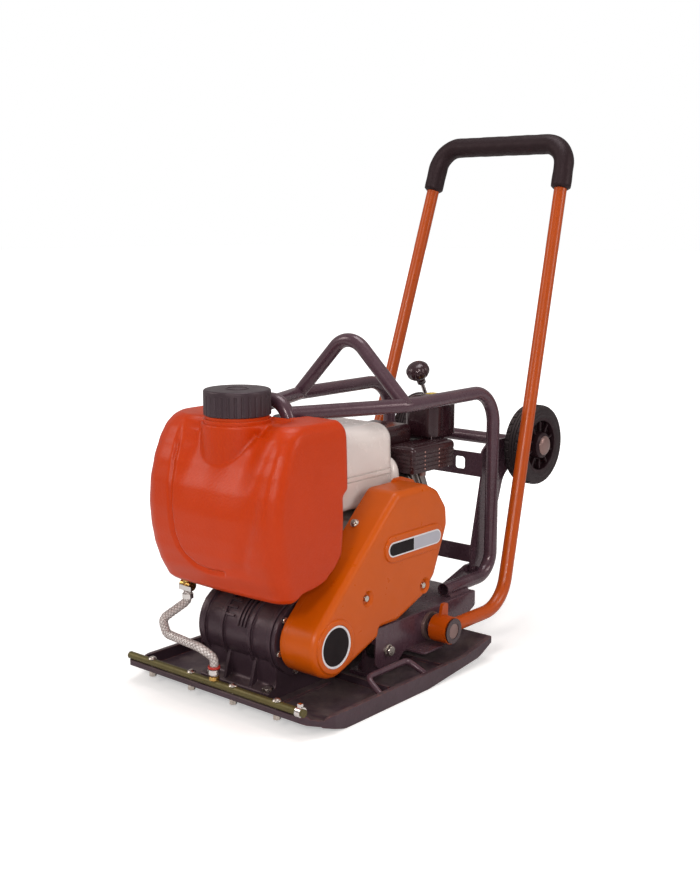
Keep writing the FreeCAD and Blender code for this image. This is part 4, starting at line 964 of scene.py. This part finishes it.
def build_badges():
    """A round badge and a two-tone pill, without lettering."""
    low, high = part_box("guard_badges")
    round_y, round_z = low.y + 0.0369, low.z + 0.0369
    back = low.x + 0.0001
    bm = bmesh.new()
    disc_x(bm, back, low.x + 0.0013, 0.0325, round_y, round_z, steps=72, chamfer=0.00048)
    add_piece("badge_round_face", bm, "badge_black", "deck", "badge", "guard_badges", sharp=40)

    top, outer, inner, chamfer = low.x + 0.0024, 0.0366, 0.0326, 0.0005
    profile = [(back, outer), (top - chamfer, outer), (top, outer - chamfer),
               (top, inner + chamfer), (top - chamfer, inner), (back, inner)]
    bm = bmesh.new()
    revolve_x(bm, profile, round_y, round_z, steps=72)
    add_piece("badge_round_ring", bm, "badge_silver", "deck", "badge", sharp=40)

    rear, pill_z, height = high.y, high.z - 0.013, 0.0212
    rim_x0 = low.x + 0.003
    rim_x1 = rim_x0 + 0.0008
    face_x = rim_x0 + 0.00115
    for part, material_name, bm in (
            ("rim", "badge_silver",
             pill_mesh(rear - 0.150, rear, pill_z, 0.0262, rim_x0, rim_x1)),
            ("dark", "badge_black",
             pill_mesh(rear - 0.1475, rear - 0.080, pill_z, height, rim_x1, face_x,
                       round_rear=False)),
            ("pale", "badge_pale",
             pill_mesh(rear - 0.0785, rear - 0.0025, pill_z, height, rim_x1, face_x,
                       round_front=False))):
        add_piece("badge_pill_" + part, bm, material_name, "deck", "badge", sharp=40)


build_badges()


# ------------------------------------------------------------------ fuel tank
def build_fuel_tank():
    """Rounded pressing with a double seam, and a white boot behind it."""
    low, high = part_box("fuel_tank")
    top_round, bottom_round = 0.032, 0.012
    margin, rear = 0.0015, low.y + 0.186
    seam_z = 0.3590
    # (height from the seam's middle, outward offset)
    seam = [(-0.0062, 0.0), (-0.0054, 0.0024), (-0.0040, 0.0024), (-0.0034, -0.0012),
            (0.0034, -0.0012), (0.0040, 0.0024), (0.0054, 0.0024), (0.0062, 0.0)]

    def outline(inset, radius=0.026):
        return round_rect(low.x + margin + inset, high.x - margin - inset,
                          low.y + margin + inset, rear - inset, max(0.006, radius - inset), 9)

    levels = []
    for k in range(7):
        dr, dz = bottom_round * math.sin(math.pi / 2 * k / 6), \
            bottom_round * math.cos(math.pi / 2 * k / 6)
        levels.append((low.z + bottom_round - dz, outline(bottom_round - dr)))
    # the offsets are used as insets
    levels += [(seam_z + dz, outline(offset)) for dz, offset in seam]
    for k in range(10):
        dr, dz = polar(top_round, math.pi / 2 * k / 9)
        levels.append((high.z - top_round + dz, outline(top_round - dr, radius=0.028)))
    bm = bmesh.new()
    loft(bm, levels)

    centre = Vector((0.056, high.y - 0.0135, 0.343))
    half_size = Vector((0.024, 0.0215, 0.036))
    sides, bands = 36, 18
    rings = []
    for i in range(1, bands):
        angle = math.pi * i / bands
        rings.append([bm.verts.new((
            centre.x + half_size.x * math.sin(angle) * math.cos(turn(k, sides)),
            centre.y + half_size.y * math.sin(angle) * math.sin(turn(k, sides)),
            centre.z - half_size.z * math.cos(angle))) for k in range(sides)])
    skin(bm, rings)
    recalc(bm)
    add_piece("fuel_tank_shell", bm, "fuel_white", "deck", "fuel", "fuel_tank", sharp=50)


build_fuel_tank()


# ------------------------------------------------------------------ muffler guard
def build_muffler_guard():
    """Pressed cover with grooved sides, ribs on top and two columns of small discs at +X."""
    low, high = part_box("muffler_guard")
    corner = 0.009

    def outline(inset):
        return round_rect(low.x + inset, high.x - inset, low.y + inset, high.y - inset,
                          max(0.003, corner - inset), 6)

    levels = [(low.z, outline(0.0))]
    for k in range(4):
        z = low.z + 0.008 + k * 0.008
        for dz, inset in ((0.0, 0.0), (0.0008, 0.0010), (0.0022, 0.0010), (0.0030, 0.0)):
            levels.append((z + dz, outline(inset)))
    for k in range(7):
        dr, dz = polar(corner, math.pi / 2 * k / 6)
        levels.append((high.z - 0.0022 - corner + dz, outline(corner - dr)))
    bm = bmesh.new()
    outer = loft(bm, levels, cap_start=False)[0]
    inner = loft(bm, [(low.z, outline(0.0018)), (high.z - 0.012, outline(0.0022)),
                      (high.z - 0.0045, outline(0.0085))], cap_start=False)[0]
    for k in range(len(outer)):
        after = (k + 1) % len(outer)
        bm.faces.new((outer[k], inner[k], inner[after], outer[after]))
    recalc(bm)
    for k in range(11):
        bevelled_box(bm, (high.x - 0.0125, low.y + 0.016 + k * 0.0102, high.z - 0.0038),
                     (0.018, 0.0036, 0.0042), tilt=math.radians(18))
    for k in range(4):
        bevelled_box(bm, (low.x + 0.012 + k * 0.008, low.y + 0.030, high.z - 0.0030),
                     (0.0036, 0.030, 0.0034))
    add_piece("muffler_guard_shell", bm, "engine_black", "deck", "shroud", "muffler_guard",
              sharp=40)

    bm = bmesh.new()
    for dy in (0.036, 0.080):
        for k in range(5):
            disc_x(bm, high.x - 0.0006, high.x + 0.0003, 0.0017, low.y + dy,
                   low.z + 0.006 + k * 0.0078, steps=12, chamfer=0.0002)
    add_piece("muffler_guard_holes", bm, "hole_edge", "deck", "shroud")


build_muffler_guard()


# ------------------------------------------------------------------ air cleaner
def build_air_cleaner_details():
    """Plain label on top and two moulded ribs on the +X face."""
    low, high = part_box("air_cleaner_cover")
    bm = bmesh.new()
    centre = (low.x + 0.040, high.y - 0.030, high.z + 0.0003)
    bmesh.ops.create_cube(bm, size=1.0, matrix=Matrix.Translation(centre)
                          @ Matrix.Diagonal((0.034, 0.022, 0.0006, 1)))
    bmesh.ops.bevel(bm, geom=list(bm.edges), offset=0.0002, segments=1, affect="EDGES")
    add_piece("air_cleaner_label", bm, "label_yellow", "deck", "badge", smooth=False)
    bm = bmesh.new()
    for dy in (0.030, 0.056):
        bevelled_box(bm, (high.x + 0.0004, low.y + dy, (low.z + high.z) / 2 - 0.006),
                     (0.0030, 0.0050, 0.044))
    add_piece("air_cleaner_ribs", bm, "black_gloss", "deck", "black_plastic", sharp=40)


build_air_cleaner_details()


# ------------------------------------------------------------------ axle tube, filler cap ring
def build_axle_tube():
    _, axle_y, axle_z = box_middle("tyre_left")
    half, bore, radius, chamfer = 0.0975, 0.0093, 0.0125, 0.0007
    profile = [(-half, bore), (-half, radius - chamfer), (-half + chamfer, radius),
               (half - chamfer, radius), (half, radius - chamfer), (half, bore)]
    bm = bmesh.new()
    revolve_x(bm, profile, axle_y, axle_z, steps=40)
    add_piece("axle_tube", bm, "frame_paint", "wheel_frame", "frame_paint", sharp=40)


def build_cap_ring():
    # (radius, height over the cap)
    profile = [(0.0195, -0.0006), (0.0195, 0.0006), (0.0188, 0.0012), (0.0168, 0.0012),
               (0.0162, 0.0004), (0.0162, -0.0006)]
    bm = bmesh.new()
    revolve_z(bm, [(radius, CAP_TOP + dz) for radius, dz in profile], 0, CAP_Y, steps=48)
    add_piece("cap_ring", bm, "cap_plastic", "water_cap", "black_plastic", sharp=40)


build_axle_tube()
build_cap_ring()


# ------------------------------------------------------------------ guard bolts and bracket
def hex_bolt(bm, seat, axis, across_flats, height, washer_radius):
    """Hex head on a washer that lies on seat, the head pointing along axis."""
    rotation = Vector(axis).normalized().to_track_quat("Z", "Y").to_matrix()

    def ring(z, radius, sides):
        return [bm.verts.new(Vector(seat) + rotation @ Vector((*polar(radius, turn(k, sides)), z)))
                for k in range(sides)]

    skin(bm, [ring(0, washer_radius, 28), ring(0.0014, washer_radius, 28)])
    base, radius = 0.0015, across_flats / 2 / math.cos(math.pi / 6)
    skin(bm, [ring(base, radius, 6), ring(base + height * 0.8, radius, 6),
              ring(base + height, radius * 0.86, 6)])


def build_guard_fixings():
    bm = bmesh.new()
    hex_bolt(bm, (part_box("belt_guard")[0].x + 0.012, -0.0160, 0.2917), (0, -0.690, 0.724),
             across_flats=0.010, height=0.005, washer_radius=0.0078)
    for z in (0.1690, 0.1450):
        hex_bolt(bm, (0.1026, 0.1600, z), (1, 0, 0),
                 across_flats=0.011, height=0.006, washer_radius=0.0080)
    recalc(bm)
    add_piece("guard_bolts", bm, "zinc_plate", "deck", "zinc", sharp=30)
    bm = bmesh.new()
    section = round_rect(0.0992, 0.1024, 0.146, 0.172, 0.0014, 3)
    loft(bm, [(0.1325, section), (0.1800, section)])
    recalc(bm)
    add_piece("guard_bracket", bm, "frame_paint", "deck", "frame_paint", sharp=40)


build_guard_fixings()


# ------------------------------------------------------------------ floor, world, lights, camera
def build_floor():
    """Pale floor that glows to the camera, more so away from the middle."""
    s = Shader("floor_pale")
    colour = s.mix(s.remap(s.noise(scale=3, detail=5), span=(0.3, 0.7)),
                   (0.80, 0.80, 0.80, 1), (0.83, 0.83, 0.83, 1))
    camera_ray = s.node("LightPath").outputs["Is Camera Ray"]
    distance = s.node("VectorMath", operation="LENGTH")
    s.feed(distance.inputs[0], s.node("NewGeometry").outputs["Position"])
    glow = s.remap(distance.outputs["Value"], span=(0.45, 1.6), to=(0.42, 1.0))
    s.feed_all(s.surface, {
        "Base Color": colour, "Roughness": 0.9, "Specular IOR Level": 0.1,
        "Emission Color": WHITE, "Emission Strength": s.math("MULTIPLY", camera_ray, glow)})
    half = 30.0
    bm = bmesh.new()
    bm.faces.new([bm.verts.new((x, y, 0)) for x, y in (
        (-half, -half), (half, -half), (half, half), (-half, half))])
    floor = mesh_object("floor", bm, "floor_pale", smooth=False)
    floor.location.z = -0.0005


def build_world():
    """White behind the machine, dimmer and warmer as a light."""
    world = bpy.data.worlds.new("studio")
    bpy.context.scene.world = world
    world.use_nodes = True
    nodes, link = world.node_tree.nodes, world.node_tree.links.new
    background = nodes["Background"]
    background.inputs["Color"].default_value = WHITE
    camera_ray = nodes.new("ShaderNodeLightPath").outputs["Is Camera Ray"]
    # socket, mix type, its first input and its output, value as a light, value to the camera
    for socket, data_type, first, output, lighting, seen in (
            ("Strength", "FLOAT", 2, 0, 0.40, 1.0),
            ("Color", "RGBA", 6, 2, (1.0, 0.92, 0.90, 1), WHITE)):
        mix = nodes.new("ShaderNodeMix")
        mix.data_type = data_type
        mix.inputs[first].default_value = lighting
        mix.inputs[first + 1].default_value = seen
        link(camera_ray, mix.inputs[0])
        link(mix.outputs[output], background.inputs[socket])


def area_light(name, location, target, size, power, colour=(1, 1, 1)):
    light = bpy.data.lights.new(name, "AREA")
    light.shape = "RECTANGLE"
    light.size, light.size_y = size
    light.energy = power
    light.color = colour
    obj = link_object(name, light)
    obj.location = location
    direction = Vector(target) - Vector(location)
    obj.rotation_euler = direction.to_track_quat("-Z", "Y").to_euler()


def build_camera():
    camera = bpy.data.cameras.new("cam")
    obj = link_object("cam", camera)
    camera.sensor_fit = "AUTO"
    camera.sensor_width = 36.0
    camera.lens = 51.356
    camera.clip_end = 60
    obj.location = (1.4454, -1.6026, 0.79997)
    tilt_down, heading = 9.689, 40.2269
    obj.rotation_euler = (math.radians(90 - tilt_down), 0, math.radians(heading))
    bpy.context.scene.camera = obj


build_floor()
build_world()
WARM = (1.0, 0.93, 0.88)
area_light("key", (1.2, -2.9, 1.9), target=(0, 0, 0.35), size=(0.6, 0.6), power=30,
           colour=(1.0, 0.94, 0.88))
area_light("flash", (1.52, -1.72, 1.00), target=(0, -0.05, 0.40), size=(0.11, 0.11), power=9,
           colour=(1.0, 0.96, 0.92))
area_light("left", (-2.3, -1.9, 2.0), target=(0, 0, 0.35), size=(0.7, 1.5), power=22, colour=WARM)
area_light("side", (2.9, 1.2, 1.7), target=(0, 0, 0.35), size=(0.7, 1.5), power=24, colour=WARM)
area_light("top", (0.0, 0.2, 3.0), target=(0, 0, 0.3), size=(1.4, 1.4), power=30)
build_camera()
view = bpy.context.scene.view_settings
view.view_transform = "Standard"
view.look = "None"
